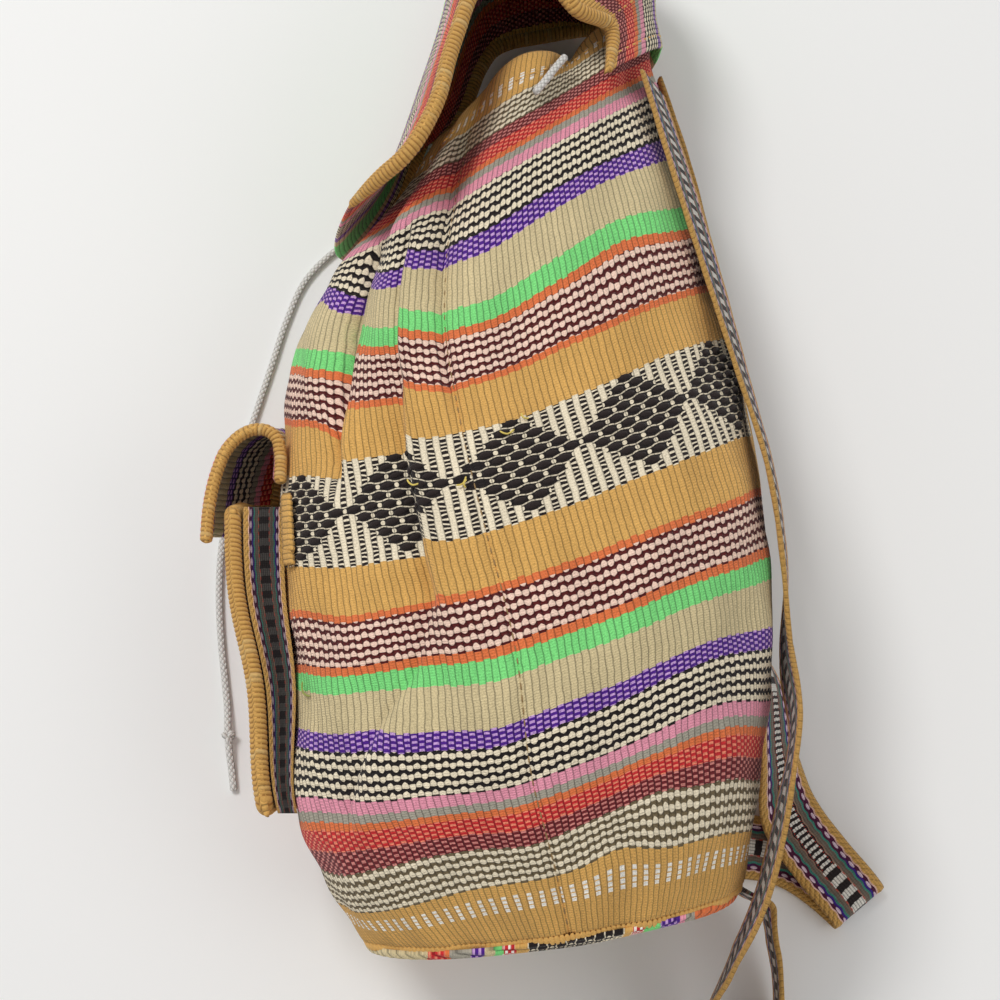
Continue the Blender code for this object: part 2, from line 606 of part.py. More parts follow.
# Shoulder straps: flat woven bands, sewn to the top of the back and to the base's back corners
def strap(name, place_round, standoff, free_run):
    lead = []
    for k in range(6):
        place = STRAP_TOP + (STRAP_LOOSE - STRAP_TOP) * k / 5
        away = BAND_THICKNESS / 2 + FIT_GAP + RIB_RISE + standoff + STRAP_SLACK * (k / 5)
        ring = section(place)
        out = ring.outline(place_round)[2]
        centre = wall_point(place_round, place, away, folded=False)
        lead.append((tuple(centre), (-out[1], 0.0, out[0])))
    rows = [(*centre, *Vector(width).normalized()) for centre, width in lead]
    rows += [(*centre, *Vector(width).normalized()) for centre, width in free_run]
    steps = [math.dist(first[:3], second[:3]) for first, second in zip(rows, rows[1:])]
    stops = np.concatenate(([0.0], np.cumsum(steps)))
    halves = np.interp(np.arange(0.0, len(rows) - 0.99, 0.5), range(len(rows)), stops)
    run = np.array([along_curve(stops, rows, at) for at in halves])
    count = len(run)
    profile = ((-0.5, -0.35), (-0.5, 0.35), (-0.40, 0.5), (0.40, 0.5), (0.5, 0.35), (0.5, -0.35),
               (0.40, -0.5), (-0.40, -0.5))
    mesh = bpy.data.meshes.new(name)
    obj = bpy.data.objects.new(name, mesh)
    bpy.context.scene.collection.objects.link(obj)
    for colour in ("mustard", "diamond"):
        mesh.materials.append(material(colour, COLOURS[colour]))
    bm = bmesh.new()
    loops = []
    for i in range(count):
        centre = Vector(run[i, :3])
        along = Vector(run[min(i + 1, count - 1), :3] - run[max(i - 1, 0), :3]).normalized()
        side = Vector(run[i, 3:])
        side = (side - along * side.dot(along)).normalized()
        up = side.cross(along)
        loops.append([bm.verts.new(centre + side * (a * BAND_WIDTH) + up * (b * BAND_THICKNESS))
                      for a, b in profile])
    for first, second in zip(loops, loops[1:]):
        for k in range(len(profile)):
            n = (k + 1) % len(profile)
            made = bm.faces.new((first[k], first[n], second[n], second[k]))
            made.material_index = 1 if k in (2, 6) else 0
    bm.faces.new(loops[0])
    bm.faces.new(loops[-1][::-1])
    bmesh.ops.recalc_face_normals(bm, faces=bm.faces)
    bm.to_mesh(mesh)
    bm.free()


strap("shoulder_strap_near", STRAP_NEAR_PLACE, STRAP_NEAR_STANDOFF, STRAP_NEAR_RUN)
strap("shoulder_strap_far", STRAP_FAR_PLACE, STRAP_FAR_STANDOFF, STRAP_FAR_RUN)


# Drawstring: a white braided cord in the mouth's hem, with a long tail and a short end
def cord(name, route):
    run = through(route, 200)
    length = float(np.sum(np.linalg.norm(np.diff(run, axis=0), axis=1)))
    points = through(route, max(4, round(length / CORD_STEP)))
    curve = bpy.data.curves.new(name, "CURVE")
    curve.dimensions = "3D"
    curve.bevel_depth = CORD_DIAMETER / 2
    curve.bevel_resolution = 2
    curve.use_fill_caps = True
    spline = curve.splines.new("POLY")
    spline.points.add(len(points) - 1)
    for point, place in zip(spline.points, points):
        point.co = (*place, 1.0)
    curve.materials.append(material("white", COLOURS["white"]))
    obj = bpy.data.objects.new(name, curve)
    bpy.context.scene.collection.objects.link(obj)


cord("drawstring_tail", TAIL_ROUTE)
cord("drawstring_tip", TAIL_END)
cord("drawstring_end", STUB_ROUTE)

bm = bmesh.new()
bmesh.ops.create_icosphere(bm, subdivisions=2, radius=KNOT_DIAMETER / 2)
bmesh.ops.translate(bm, verts=bm.verts, vec=KNOT_PLACE)
knot_mesh = bpy.data.meshes.new("drawstring_knot")
bm.to_mesh(knot_mesh)
bm.free()
knot_mesh.materials.append(material("white", COLOURS["white"]))
bpy.context.scene.collection.objects.link(bpy.data.objects.new("drawstring_knot", knot_mesh))
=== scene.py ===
"""Looks of the woven bucket backpack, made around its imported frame.

The bag lies on its side. +Z is up from the floor, +Y runs from the base to the mouth and +X from
the front, with the pocket, to the back, with the straps. Lengths are in metres. A place on the
wall is its way round, as a share of the girth from the upper side seam towards the front, and its
way along the cloth from the base seam. Every woven piece carries a UV map named weave: u counts
ribs of the cloth and v is the distance across its stripes in millimetres."""
import math

import bpy
import numpy as np
from mathutils import Matrix, Vector


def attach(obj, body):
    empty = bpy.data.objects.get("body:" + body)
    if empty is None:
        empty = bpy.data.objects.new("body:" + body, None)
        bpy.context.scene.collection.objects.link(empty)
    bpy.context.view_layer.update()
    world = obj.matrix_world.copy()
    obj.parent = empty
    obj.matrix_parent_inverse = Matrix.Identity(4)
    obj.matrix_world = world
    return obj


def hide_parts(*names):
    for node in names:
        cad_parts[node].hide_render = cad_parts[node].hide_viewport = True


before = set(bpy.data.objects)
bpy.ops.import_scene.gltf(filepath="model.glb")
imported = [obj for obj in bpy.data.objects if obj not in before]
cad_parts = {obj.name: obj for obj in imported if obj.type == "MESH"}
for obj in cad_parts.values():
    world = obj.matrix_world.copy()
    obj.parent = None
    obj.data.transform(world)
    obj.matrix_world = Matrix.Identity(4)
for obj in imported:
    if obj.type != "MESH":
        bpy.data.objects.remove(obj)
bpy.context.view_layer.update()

# Where the bag is seen from, what it lies on and how it is lit: from above its foot, on a pale
# floor, in soft even light with a weak key from the upper left.
AIM = Vector((0.0, 0.0, 0.09))
CAMERA_DISTANCE = 0.85
CAMERA_ELEVATION = math.radians(70)
LENS = 61.2
SENSOR = 36.0
FLOOR_SIZE = 6.0
FLOOR_WHITE = (0.93, 0.925, 0.91, 1.0)
FLOOR_ROUGHNESS = 0.95
STUDIO_LIGHT = 0.50
# Lamps: name, place, size and power. Both point at one place on the bag.
LAMPS = (("key", (-1.1, 1.0, 2.2), 0.9, 30.0), ("fill", (1.6, -0.8, 1.7), 1.4, 6.0))
LAMP_TARGET = Vector((0.0, 0.0, 0.05))

camera_data = bpy.data.cameras.new("camera")
camera_data.lens = LENS
camera_data.sensor_width = SENSOR
camera_data.clip_start = 0.02
camera = bpy.data.objects.new("camera", camera_data)
camera.location = AIM + CAMERA_DISTANCE * Vector((0, -math.cos(CAMERA_ELEVATION), math.sin(CAMERA_ELEVATION)))
camera.rotation_euler = (math.pi / 2 - CAMERA_ELEVATION, 0, 0)
bpy.context.scene.collection.objects.link(camera)
bpy.context.scene.camera = camera
bpy.context.scene.view_settings.view_transform = "Standard"

for name, place, size, power in LAMPS:
    lamp = bpy.data.lights.new(name, "AREA")
    lamp.shape = "DISK"
    lamp.size = size
    lamp.energy = power
    held = bpy.data.objects.new(name, lamp)
    held.location = place
    held.rotation_euler = (LAMP_TARGET - Vector(place)).to_track_quat("-Z", "Y").to_euler()
    bpy.context.scene.collection.objects.link(held)

world = bpy.data.worlds.new("studio")
world.use_nodes = True
backdrop = world.node_tree.nodes["Background"]
backdrop.inputs["Color"].default_value = (1.0, 1.0, 1.0, 1.0)
backdrop.inputs["Strength"].default_value = STUDIO_LIGHT
bpy.context.scene.world = world

floor_mesh = bpy.data.meshes.new("floor")
half = FLOOR_SIZE / 2
floor_corners = [(-half, -half, 0), (half, -half, 0), (half, half, 0), (-half, half, 0)]
floor_mesh.from_pydata(floor_corners, [], [(0, 1, 2, 3)])
floor = bpy.data.objects.new("floor", floor_mesh)
bpy.context.scene.collection.objects.link(floor)
floor_paint = bpy.data.materials.new("pale_floor")
floor_paint.use_nodes = True
floor_shader = floor_paint.node_tree.nodes["Principled BSDF"]
floor_shader.inputs["Base Color"].default_value = FLOOR_WHITE
floor_shader.inputs["Roughness"].default_value = FLOOR_ROUGHNESS
floor_mesh.materials.append(floor_paint)


# Drawstring: a thin white braided cotton cord. It runs in the hem of the mouth, and its two ends
# come out of it: a long tail to the floor, knotted near its cut end, and a short stub at the back.
CORD_DIAMETER = 0.004
TAIL_ROUTE = (
    (-0.0383, 0.2285, 0.0510), (-0.0420, 0.2262, 0.0400), (-0.0450, 0.2245, 0.0270),
    (-0.0480, 0.2225, 0.0140), (-0.0530, 0.2190, 0.0055), (-0.0610, 0.2130, 0.0024),
    (-0.0720, 0.2050, 0.0021), (-0.0850, 0.1960, 0.0021),
    (-0.0980, 0.1860, 0.0021), (-0.1130, 0.1680, 0.0021), (-0.1230, 0.1420, 0.0021),
    (-0.1300, 0.1150, 0.0021), (-0.1370, 0.0880, 0.0021), (-0.1440, 0.0600, 0.0021),
    (-0.1500, 0.0300, 0.0021), (-0.1530, 0.0000, 0.0021), (-0.1525, -0.0260, 0.0021),
    (-0.1500, -0.0500, 0.0021), (-0.1470, -0.0700, 0.0021), (-0.1444, -0.0880, 0.0030),
    (-0.1436, -0.0971, 0.0045), (-0.1425, -0.1069, 0.0045), (-0.1408, -0.1180, 0.0023),
    (-0.1390, -0.1300, 0.0021),
)
STUB_ROUTE = (
    (0.0345, 0.2355, 0.1268), (0.0285, 0.2255, 0.1300), (0.0240, 0.2175, 0.1322), (0.0180, 0.2078, 0.1346),
)
KNOT_PLACE = (-0.1430, -0.1020, 0.0045)
BRAID_PITCH = 0.0034
BRAID_RINGS = 5
CORD_SIDES = 16
CORD_WHITE = (0.80, 0.78, 0.74)
CORD_SHADE = (0.45, 0.43, 0.40)
CORD_STRANDS = 4
BRAID_RISE = 0.10
CUT_END_ROUND = 0.6
CUT_END_SIZE = 0.12


def hermite(stops, values, at):
    """Smooth values at the given stops, read at other stops."""
    stops = np.asarray(stops, dtype=float)
    values = np.asarray(values, dtype=float)
    at = np.atleast_1d(np.asarray(at, dtype=float))
    slopes = np.gradient(values, stops, axis=0)
    i = np.clip(np.searchsorted(stops, at) - 1, 0, len(stops) - 2)
    span = (stops[i + 1] - stops[i]).reshape(-1, *[1] * (values.ndim - 1))
    t = (at - stops[i]).reshape(span.shape) / span
    return ((2 * t**3 - 3 * t**2 + 1) * values[i] + (t**3 - 2 * t**2 + t) * span * slopes[i]
            + (3 * t**2 - 2 * t**3) * values[i + 1] + (t**3 - t**2) * span * slopes[i + 1])


def arc_length(points):
    return np.concatenate(([0.0], np.cumsum(np.linalg.norm(np.diff(points[:, :3], axis=0), axis=1))))


def smooth_line(points, step=None, count=None):
    """Evenly spaced points on a smooth curve through the given ones, by their distance or number."""
    points = np.asarray(points, dtype=float)
    stops = arc_length(points)
    fine = hermite(stops, points, np.linspace(0.0, stops[-1], 1600))
    run = arc_length(fine)
    wanted = np.linspace(0.0, run[-1], count or int(round(run[-1] / step)) + 1)
    return np.array([np.interp(wanted, run, fine[:, k]) for k in range(points.shape[1])]).T


def unit(vectors):
    return vectors / np.linalg.norm(vectors, axis=-1)[..., None]


def squared(vectors, along):
    """Vectors turned the least way that makes them square to others, all of length one."""
    return unit(vectors - along * np.sum(vectors * along, axis=-1)[..., None])


def mesh_piece(name, points, faces, uv=None):
    """A mesh object at the origin, with an optional weave UV for each point."""
    mesh = bpy.data.meshes.new(name)
    mesh.from_pydata(np.asarray(points, dtype=float).reshape(-1, 3).tolist(), [], faces)
    mesh.update()
    if uv is not None:
        layer = mesh.uv_layers.new(name="weave")
        corners = np.empty(len(mesh.loops), dtype=np.int32)
        mesh.loops.foreach_get("vertex_index", corners)
        layer.data.foreach_set("uv", np.asarray(uv, dtype=np.float32)[corners].ravel())
    mesh.shade_smooth()
    piece = bpy.data.objects.new(name, mesh)
    bpy.context.scene.collection.objects.link(piece)
    return piece


def ring_faces(rows, count):
    """Faces of a closed tube of rings with the same count of points, with its two ends."""
    faces = [(i * count + k, i * count + (k + 1) % count,
              (i + 1) * count + (k + 1) % count, (i + 1) * count + k)
             for i in range(rows - 1) for k in range(count)]
    return faces + [tuple(range(count))[::-1], tuple((rows - 1) * count + k for k in range(count))]


def tube(name, path, radius, sides, relief=None, flat_ends=0.0):
    """A round closed tube along a path, whose ends are rounded. Relief is a share of the radius, and
    flat ends is the length over which the tube thins towards its ends, as where it is sewn down."""
    path = np.asarray(path, dtype=float)
    along = unit(np.gradient(path, axis=0))
    side = np.cross(along[0], (0.0, 0.0, 1.0) if abs(along[0][2]) < 0.9 else (1.0, 0.0, 0.0))
    sides_at = []
    for direction in along:
        side = squared(side, direction)
        sides_at.append(side)
    sides_at = np.array(sides_at)
    ups = np.cross(along, sides_at)
    run = arc_length(path)
    angle = np.arange(sides) / sides * 2 * math.pi
    from_end = np.minimum(run, run[-1] - run)
    cap = np.sqrt(np.clip(1 - (1 - np.clip(from_end / (radius * CUT_END_ROUND), 0, 1)) ** 2, CUT_END_SIZE, 1))
    if flat_ends:
        cap = cap * (0.45 + 0.55 * np.sin(np.clip(from_end / flat_ends, 0, 1) * math.pi / 2))
    size = radius * cap[:, None] * np.ones((1, sides))
    if relief is not None:
        size = size * (1 + relief(run[:, None], angle[None, :]))
    points = (path[:, None, :] + sides_at[:, None, :] * (np.cos(angle) * size)[..., None]
              + ups[:, None, :] * (np.sin(angle) * size)[..., None])
    uv = np.stack(np.broadcast_arrays(angle[None, :] / (2 * math.pi), run[:, None] * 1000), axis=-1)
    return mesh_piece(name, points, ring_faces(len(path), sides), uv.reshape(-1, 2))


class Amount:
    """A number that a node gives. What is worked out with it makes the nodes which that needs."""

    def __init__(self, tree, socket):
        self.tree, self.socket = tree, socket

    def __add__(self, other):
        return maths(self.tree, "ADD", self, other)

    def __sub__(self, other):
        return maths(self.tree, "SUBTRACT", self, other)

    def __rsub__(self, other):
        return maths(self.tree, "SUBTRACT", other, self)

    def __mul__(self, other):
        return maths(self.tree, "MULTIPLY", self, other)

    def __truediv__(self, other):
        return maths(self.tree, "DIVIDE", self, other)

    def __pow__(self, other):
        return maths(self.tree, "POWER", self, other)

    def __mod__(self, other):
        return maths(self.tree, "FLOORED_MODULO", self, other)

    def __lt__(self, other):
        return maths(self.tree, "LESS_THAN", self, other)

    def __gt__(self, other):
        return maths(self.tree, "GREATER_THAN", self, other)

    def __abs__(self):
        return maths(self.tree, "ABSOLUTE", self)

    __radd__, __rmul__ = __add__, __mul__

    def floor(self):
        return maths(self.tree, "FLOOR", self)

    def part(self):
        """What it has past its whole number."""
        return maths(self.tree, "FRACT", self)

    def sine(self):
        """Sine of so many half turns."""
        return maths(self.tree, "SINE", self * math.pi)

    def cosine(self):
        """Cosine of so many half turns."""
        return maths(self.tree, "COSINE", self * math.pi)

    def from_centre(self):
        """How far it is from the middle between two whole numbers."""
        return abs(self.part() - 0.5)

    def drawn(self):
        """A random share for each whole number."""
        node = self.tree.nodes.new("ShaderNodeTexWhiteNoise")
        node.noise_dimensions = "1D"
        self.tree.links.new(self.socket, node.inputs["W"])
        return Amount(self.tree, node.outputs["Value"])

    def ramp(self, low, high, to_low=0.0, to_high=1.0):
        """Itself spread from one range to another, with smooth ends."""
        node = self.tree.nodes.new("ShaderNodeMapRange")
        node.interpolation_type = "SMOOTHSTEP"
        self.tree.links.new(self.socket, node.inputs["Value"])
        for label, number in (("From Min", low), ("From Max", high), ("To Min", to_low), ("To Max", to_high)):
            node.inputs[label].default_value = number
        return Amount(self.tree, node.outputs["Result"])


def maths(tree, operation, *values):
    """One Math node's amount. A value is a number or another amount."""
    node = tree.nodes.new("ShaderNodeMath")
    node.operation = operation
    for socket, value in zip(node.inputs, values):
        if isinstance(value, Amount):
            tree.links.new(value.socket, socket)
        else:
            socket.default_value = value
    return Amount(tree, node.outputs[0])


def blended(share, first, second):
    """Two colours mixed by a share. A colour is a triple or a node's output."""
    node = share.tree.nodes.new("ShaderNodeMix")
    node.data_type = "RGBA"
    share.tree.links.new(share.socket, node.inputs[0])
    for socket, colour in ((node.inputs[6], first), (node.inputs[7], second)):
        if isinstance(colour, bpy.types.NodeSocket):
            share.tree.links.new(colour, socket)
        else:
            socket.default_value = (*colour, 1.0)
    return node.outputs[2]


def new_fabric(name):
    """A matt yarn material, its node tree, and its shader."""
    fabric = bpy.data.materials.new(name)
    fabric.use_nodes = True
    shader = fabric.node_tree.nodes["Principled BSDF"]
    for label, amount in (("Roughness", 0.92), ("Specular IOR Level", 0.25), ("Sheen Weight", 0.12),
                          ("Sheen Roughness", 0.5)):
        shader.inputs[label].default_value = amount
    return fabric, fabric.node_tree, shader


def fuzz(tree, scale, detail=3.0, vector=None):
    """Fine yarn noise, around a half."""
    node = tree.nodes.new("ShaderNodeTexNoise")
    node.inputs["Scale"].default_value = scale
    node.inputs["Detail"].default_value = detail
    if vector is None:
        vector = tree.nodes.new("ShaderNodeTexCoord").outputs["Object"]
    tree.links.new(vector, node.inputs["Vector"])
    return Amount(tree, node.outputs["Fac"])


def finish_fabric(tree, shader, colour, brightness, height, depth):
    """Colour scaled by a brightness, and relief of a height up to a depth in metres."""
    scaled = tree.nodes.new("ShaderNodeHueSaturation")
    tree.links.new(colour, scaled.inputs["Color"])
    tree.links.new(brightness.socket, scaled.inputs["Value"])
    tree.links.new(scaled.outputs["Color"], shader.inputs["Base Color"])
    bump = tree.nodes.new("ShaderNodeBump")
    bump.inputs["Strength"].default_value = 0.9
    bump.inputs["Distance"].default_value = depth
    tree.links.new(height.socket, bump.inputs["Height"])
    tree.links.new(bump.outputs["Normal"], shader.inputs["Normal"])


def weave_uv(tree):
    """The weave's two coordinates, and both together."""
    node = tree.nodes.new("ShaderNodeUVMap")
    node.uv_map = "weave"
    split = tree.nodes.new("ShaderNodeSeparateXYZ")
    tree.links.new(node.outputs["UV"], split.inputs[0])
    return Amount(tree, split.outputs["X"]), Amount(tree, split.outputs["Y"]), node.outputs["UV"]


def cord_fabric():
    fabric, tree, shader = new_fabric("white_braid")
    around, along, _ = weave_uv(tree)
    lean = along / (BRAID_PITCH * 1000)
    plait = abs((around * CORD_STRANDS + lean).sine()) * abs((around * CORD_STRANDS - lean).sine())
    colour = blended(plait.ramp(0.0, 0.35), CORD_SHADE, CORD_WHITE)
    finish_fabric(tree, shader, colour, 0.86 + fuzz(tree, 900.0) * 0.28, plait, 0.0005)
    return fabric


def braid_relief(run, angle):
    lean = run / BRAID_PITCH * math.pi
    around = angle * CORD_STRANDS / 2
    return BRAID_RISE * np.abs(np.sin(around + lean) * np.sin(around - lean)) - BRAID_RISE / 2


cord_finish = cord_fabric()
tail_line = smooth_line(TAIL_ROUTE, step=BRAID_PITCH / BRAID_RINGS)
stub_line = smooth_line(STUB_ROUTE, step=BRAID_PITCH / BRAID_RINGS)
tail = tube("drawstring_long_end", tail_line, CORD_DIAMETER / 2, CORD_SIDES, braid_relief)
stub = tube("drawstring_short_end", stub_line, CORD_DIAMETER / 2, CORD_SIDES, braid_relief)

# The knot is an overhand knot pulled tight: the same cord wound round itself
KNOT_WIND = 0.0026
knot_turn = np.linspace(0, 2 * math.pi, 60)
knot_line = np.array(KNOT_PLACE) + KNOT_WIND * np.stack((
    0.85 * (np.sin(knot_turn) + 0.9 * np.sin(2 * knot_turn)) * 0.55,
    1.15 * (np.cos(knot_turn) - 0.9 * np.cos(2 * knot_turn)) * 0.55,
    -0.55 * np.sin(3 * knot_turn)), axis=1)
knot = tube("drawstring_knot_wound", knot_line, CORD_DIAMETER * 0.42, CORD_SIDES, braid_relief)
for piece in (tail, stub, knot):
    piece.data.materials.append(cord_finish)
    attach(piece, "root")
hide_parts("drawstring_tail", "drawstring_tip")
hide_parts("drawstring_end")
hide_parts("drawstring_knot")


# Wall of the bag: two panels of thick handwoven cloth, ribbed along the bag and striped round it,
# sewn together down both sides. The mouth is turned in to a hem, and the cord gathers it.
WALL = 0.0026
CLOTH_LENGTH = 0.480
SETTLE = 0.010
ROUNDNESS = 2.3
BASE_LIFT = 0.014
MOUTH_LIFT = 0.004
LIFT_REACH = 0.036
SEAM_AT_BASE = 0.07
SEAM_LEAN = -0.98
HEM_WIDTH = 0.028
HEM_RISE = 0.0012
RIBS_EACH_PANEL = 100
RIB_STEPS = 4
RIB_RISE = 0.00055
RIB_PITCH = 0.0032
GIRTH = 0.62
WALL_ROWS = 212
LINING_ROWS = 54
LINING_COLUMNS = 100
SEAM_DIP = 0.0016
SEAM_REACH = 0.0030
EDGE_ROUND = 0.0030
# Way along the cloth, front edge x and y, back edge x and y, height, slide of the upper side
SECTIONS = np.array((
    (0.000, -0.064, -0.208, 0.113, -0.184, 0.120, 0.020),
    (0.035, -0.078, -0.190, 0.120, -0.160, 0.141, 0.017),
    (0.092, -0.097, -0.148, 0.129, -0.101, 0.158, 0.027),
    (0.157, -0.100, -0.085, 0.133, -0.028, 0.162, 0.037),
    (0.215, -0.108, -0.034, 0.129, 0.039, 0.157, 0.038),
    (0.265, -0.111, 0.023, 0.118, 0.098, 0.150, 0.040),
    (0.322, -0.110, 0.085, 0.108, 0.169, 0.143, 0.045),
    (0.388, -0.084, 0.149, 0.088, 0.257, 0.130, 0.038),
    (0.430, -0.056, 0.187, 0.082, 0.290, 0.126, 0.034),
    (0.480, -0.034, 0.226, 0.078, 0.315, 0.122, 0.036),
))
# Way round, where the fold starts and is full along the cloth, depth, half width
FOLDS = (
    (0.000, 0.285, 0.420, 0.0140, 0.0125),
    (0.092, 0.262, 0.350, 0.0110, 0.0120),
    (-0.125, 0.385, 0.480, 0.0170, 0.0145),
    (-0.215, 0.370, 0.480, 0.0080, 0.0120),
    (-0.300, 0.360, 0.480, 0.0100, 0.0130),
    (-0.400, 0.380, 0.480, 0.0080, 0.0125),
    (0.180, 0.360, 0.480, 0.0100, 0.0130),
    (0.270, 0.340, 0.480, 0.0080, 0.0130),
    (0.355, 0.370, 0.480, 0.0080, 0.0125),
    (0.450, 0.380, 0.480, 0.0080, 0.0125),
)
# Gathers of the neck: way round, half width, where it starts and is full along the cloth, and how
# far it draws the cloth in x, y and z
GATHERS = (
    (0.005, 0.045, 0.375, 0.440, -0.010, 0.000, -0.003),
    (-0.040, 0.036, 0.430, 0.480, -0.002, 0.008, 0.004),
    (-0.114, 0.026, 0.450, 0.480, 0.000, -0.008, -0.003),
)
TUCK_PLACE = 0.047
TUCK_FROM = 0.110
TUCK_TO = 0.360
TUCK_DROP = 0.0055
TUCK_WIDTH = 0.010


def eased(value):
    value = np.clip(value, 0.0, 1.0)
    return value * value * (3.0 - 2.0 * value)


class Ring:
    """The bag's section at one place along its cloth."""

    def __init__(self, place):
        self.front_x, self.front_y, self.back_x, self.back_y, self.top, self.slump = hermite(
            SECTIONS[:, 0], SECTIONS[:, 1:], place)[0]
        curl = max(0.0, 1.0 - place / LIFT_REACH) ** 2 * (BASE_LIFT + SETTLE)
        rim = max(0.0, 1.0 - (CLOTH_LENGTH - place) / LIFT_REACH) ** 2 * (MOUTH_LIFT + SETTLE)
        low = -SETTLE + curl + rim
        self.mid_x = (self.front_x + self.back_x) / 2
        self.half_x = (self.back_x - self.front_x) / 2
        self.mid_z = (self.top + low) / 2
        self.half_z = (self.top - low) / 2
        angle = np.linspace(0.0, 2 * math.pi, 1441)
        c, s = np.cos(angle), np.sin(angle)
        self.x = self.mid_x + self.half_x * np.sign(c) * np.abs(c) ** (2 / ROUNDNESS)
        self.z = self.mid_z + self.half_z * np.sign(s) * np.abs(s) ** (2 / ROUNDNESS)
        steps = np.hypot(np.diff(self.x), np.diff(np.maximum(self.z, 0.0)))
        self.run = np.concatenate(([0.0], np.cumsum(steps)))
        self.girth = self.run[-1]
        upper = (angle > 0.3) & (angle < math.pi - 0.3)
        seam_x = self.mid_x + (SEAM_AT_BASE + SEAM_LEAN * place) * self.half_x
        self.start = np.interp(-seam_x, -self.x[upper], self.run[upper])

    def y_at(self, x, z):
        share = (x - self.front_x) / (self.back_x - self.front_x)
        up = (z - self.mid_z) / self.half_z
        slid = self.slump * np.where(up > 0, up, 0.5 * up)
        return self.front_y + (self.back_y - self.front_y) * share - slid


rings = {}


def fold_depth(shares, place, girth):
    depth = np.zeros_like(shares)
    for way, start, full, deep, half_width in FOLDS:
        far = ((shares - way + 0.5) % 1.0 - 0.5) * girth / half_width
        grown = eased((place - start) / (full - start))
        depth += grown * deep * (np.exp(-far * far) - 0.30 * np.exp(-(np.abs(far) - 2.0) ** 2))
    into = (shares - TUCK_PLACE) * girth / TUCK_WIDTH
    fade = eased((place - TUCK_FROM) / 0.05) * eased((TUCK_TO - place) / 0.06)
    step = eased(0.5 + into) * (1.0 - eased((shares - 0.07) / 0.10))
    return depth + TUCK_DROP * fade * step * ((shares > 0.0) & (shares < 0.5))


def on_wall(shares, place, out=0.0, folded=True):
    """Points at a distance out from the wall's face, at one place along the cloth."""
    shares = np.atleast_1d(np.asarray(shares, dtype=float))
    key = round(float(place), 6)
    if key not in rings:
        rings[key] = Ring(key)
    ring = rings[key]
    at = (ring.start + shares * ring.girth) % ring.girth
    x = np.interp(at, ring.run, ring.x)
    z = np.interp(at, ring.run, ring.z)
    across = (x - ring.mid_x) / ring.half_x
    up = (z - ring.mid_z) / ring.half_z
    nx = np.sign(across) * np.abs(across) ** (ROUNDNESS - 1) / ring.half_x
    nz = np.sign(up) * np.abs(up) ** (ROUNDNESS - 1) / ring.half_z
    size = np.hypot(nx, nz)
    push = np.zeros_like(shares) + out
    if folded:
        push += HEM_RISE * eased((place - (CLOTH_LENGTH - HEM_WIDTH)) / 0.008)
        push -= fold_depth(shares, place, ring.girth)
    x = x + nx / size * push
    z = z + nz / size * push
    points = np.stack((x, ring.y_at(x, z), np.maximum(np.maximum(z, 0.0), -out)), axis=1)
    if folded:
        for way, half_width, start, full, *reach in GATHERS:
            gap = ((shares - way + 0.5) % 1.0 - 0.5) / half_width
            pull = np.exp(-gap * gap) * eased((place - start) / (full - start))
            points += pull[:, None] * np.array(reach)
    return points


# Creases in the slack cloth. Each is a line of places along the cloth with their way round, the share of
# the girth over which it grows at its ends, the depth of its groove, how far the cloth drops on its front
# side, and for its front and its back side how far the stripes slip, in millimetres, and over what share
CREASES = (
    (((0.270, 0.1090), (0.300, 0.1010), (0.330, 0.0985), (0.365, 0.1000)), 0.025, 0.0048, 0.0058,
     (17.0, 0.018), (-3.0, 0.030)),
    (((0.205, 0.0465), (0.240, 0.0465), (0.260, 0.0475), (0.300, 0.0385), (0.370, 0.0375)),
     0.025, 0.0024, 0.0060, (5.0, 0.030), (-7.0, 0.012)),
    (((0.290, 0.0020), (0.346, 0.0030), (0.388, 0.0060), (0.430, 0.0100)), 0.030, 0.0040, 0.0,
     (6.0, 0.010), (5.0, 0.020)),
    (((0.090, 0.1380), (0.112, 0.1200), (0.130, 0.1030), (0.154, 0.0730), (0.190, 0.0470)),
     0.020, 0.0018, 0.0036, (1.0, 0.030), (0.0, 0.010)),
)
CREASE_WIDTH = 0.0045
CREASE_DROP_REACH = 0.030
CREASE_SLIP_WIDTH = 0.0012
SLACK_RISE = 0.00060
# Where the stripes lie off their even place: way round, place along the cloth, reach each way, and
# how far towards the base, in millimetres
DRIFTS = (
    (-0.130, 0.105, 0.060, 0.065, -12.0), (-0.210, 0.170, 0.060, 0.090, -5.0),
    (-0.110, 0.200, 0.060, 0.045, -3.0), (-0.050, 0.045, 0.028, 0.020, -7.0),
    (-0.078, 0.070, 0.030, 0.018, -6.0), (0.015, 0.055, 0.030, 0.020, 3.5),
    (0.020, 0.115, 0.035, 0.050, 5.0), (0.170, 0.035, 0.080, 0.030, 11.0),
    (0.185, 0.120, 0.060, 0.045, -8.5), (0.110, 0.130, 0.020, 0.020, -3.5),
    (0.165, 0.205, 0.035, 0.030, -9.0), (-0.175, 0.265, 0.060, 0.050, -4.5),
    (-0.155, 0.332, 0.050, 0.026, -7.0), (-0.040, 0.320, 0.035, 0.055, 6.0),
    (0.145, 0.365, 0.025, 0.020, -9.0),
)


def crease_reach(route, fade, shares, place):
    """How much of a crease shows at one place, and how far from it each way round is."""
    places, ways = np.array(route).T
    shown = float(eased((place - places[0]) / fade + 1.0) * eased((places[-1] - place) / fade + 1.0))
    return shown, shares - np.interp(place, places, ways)


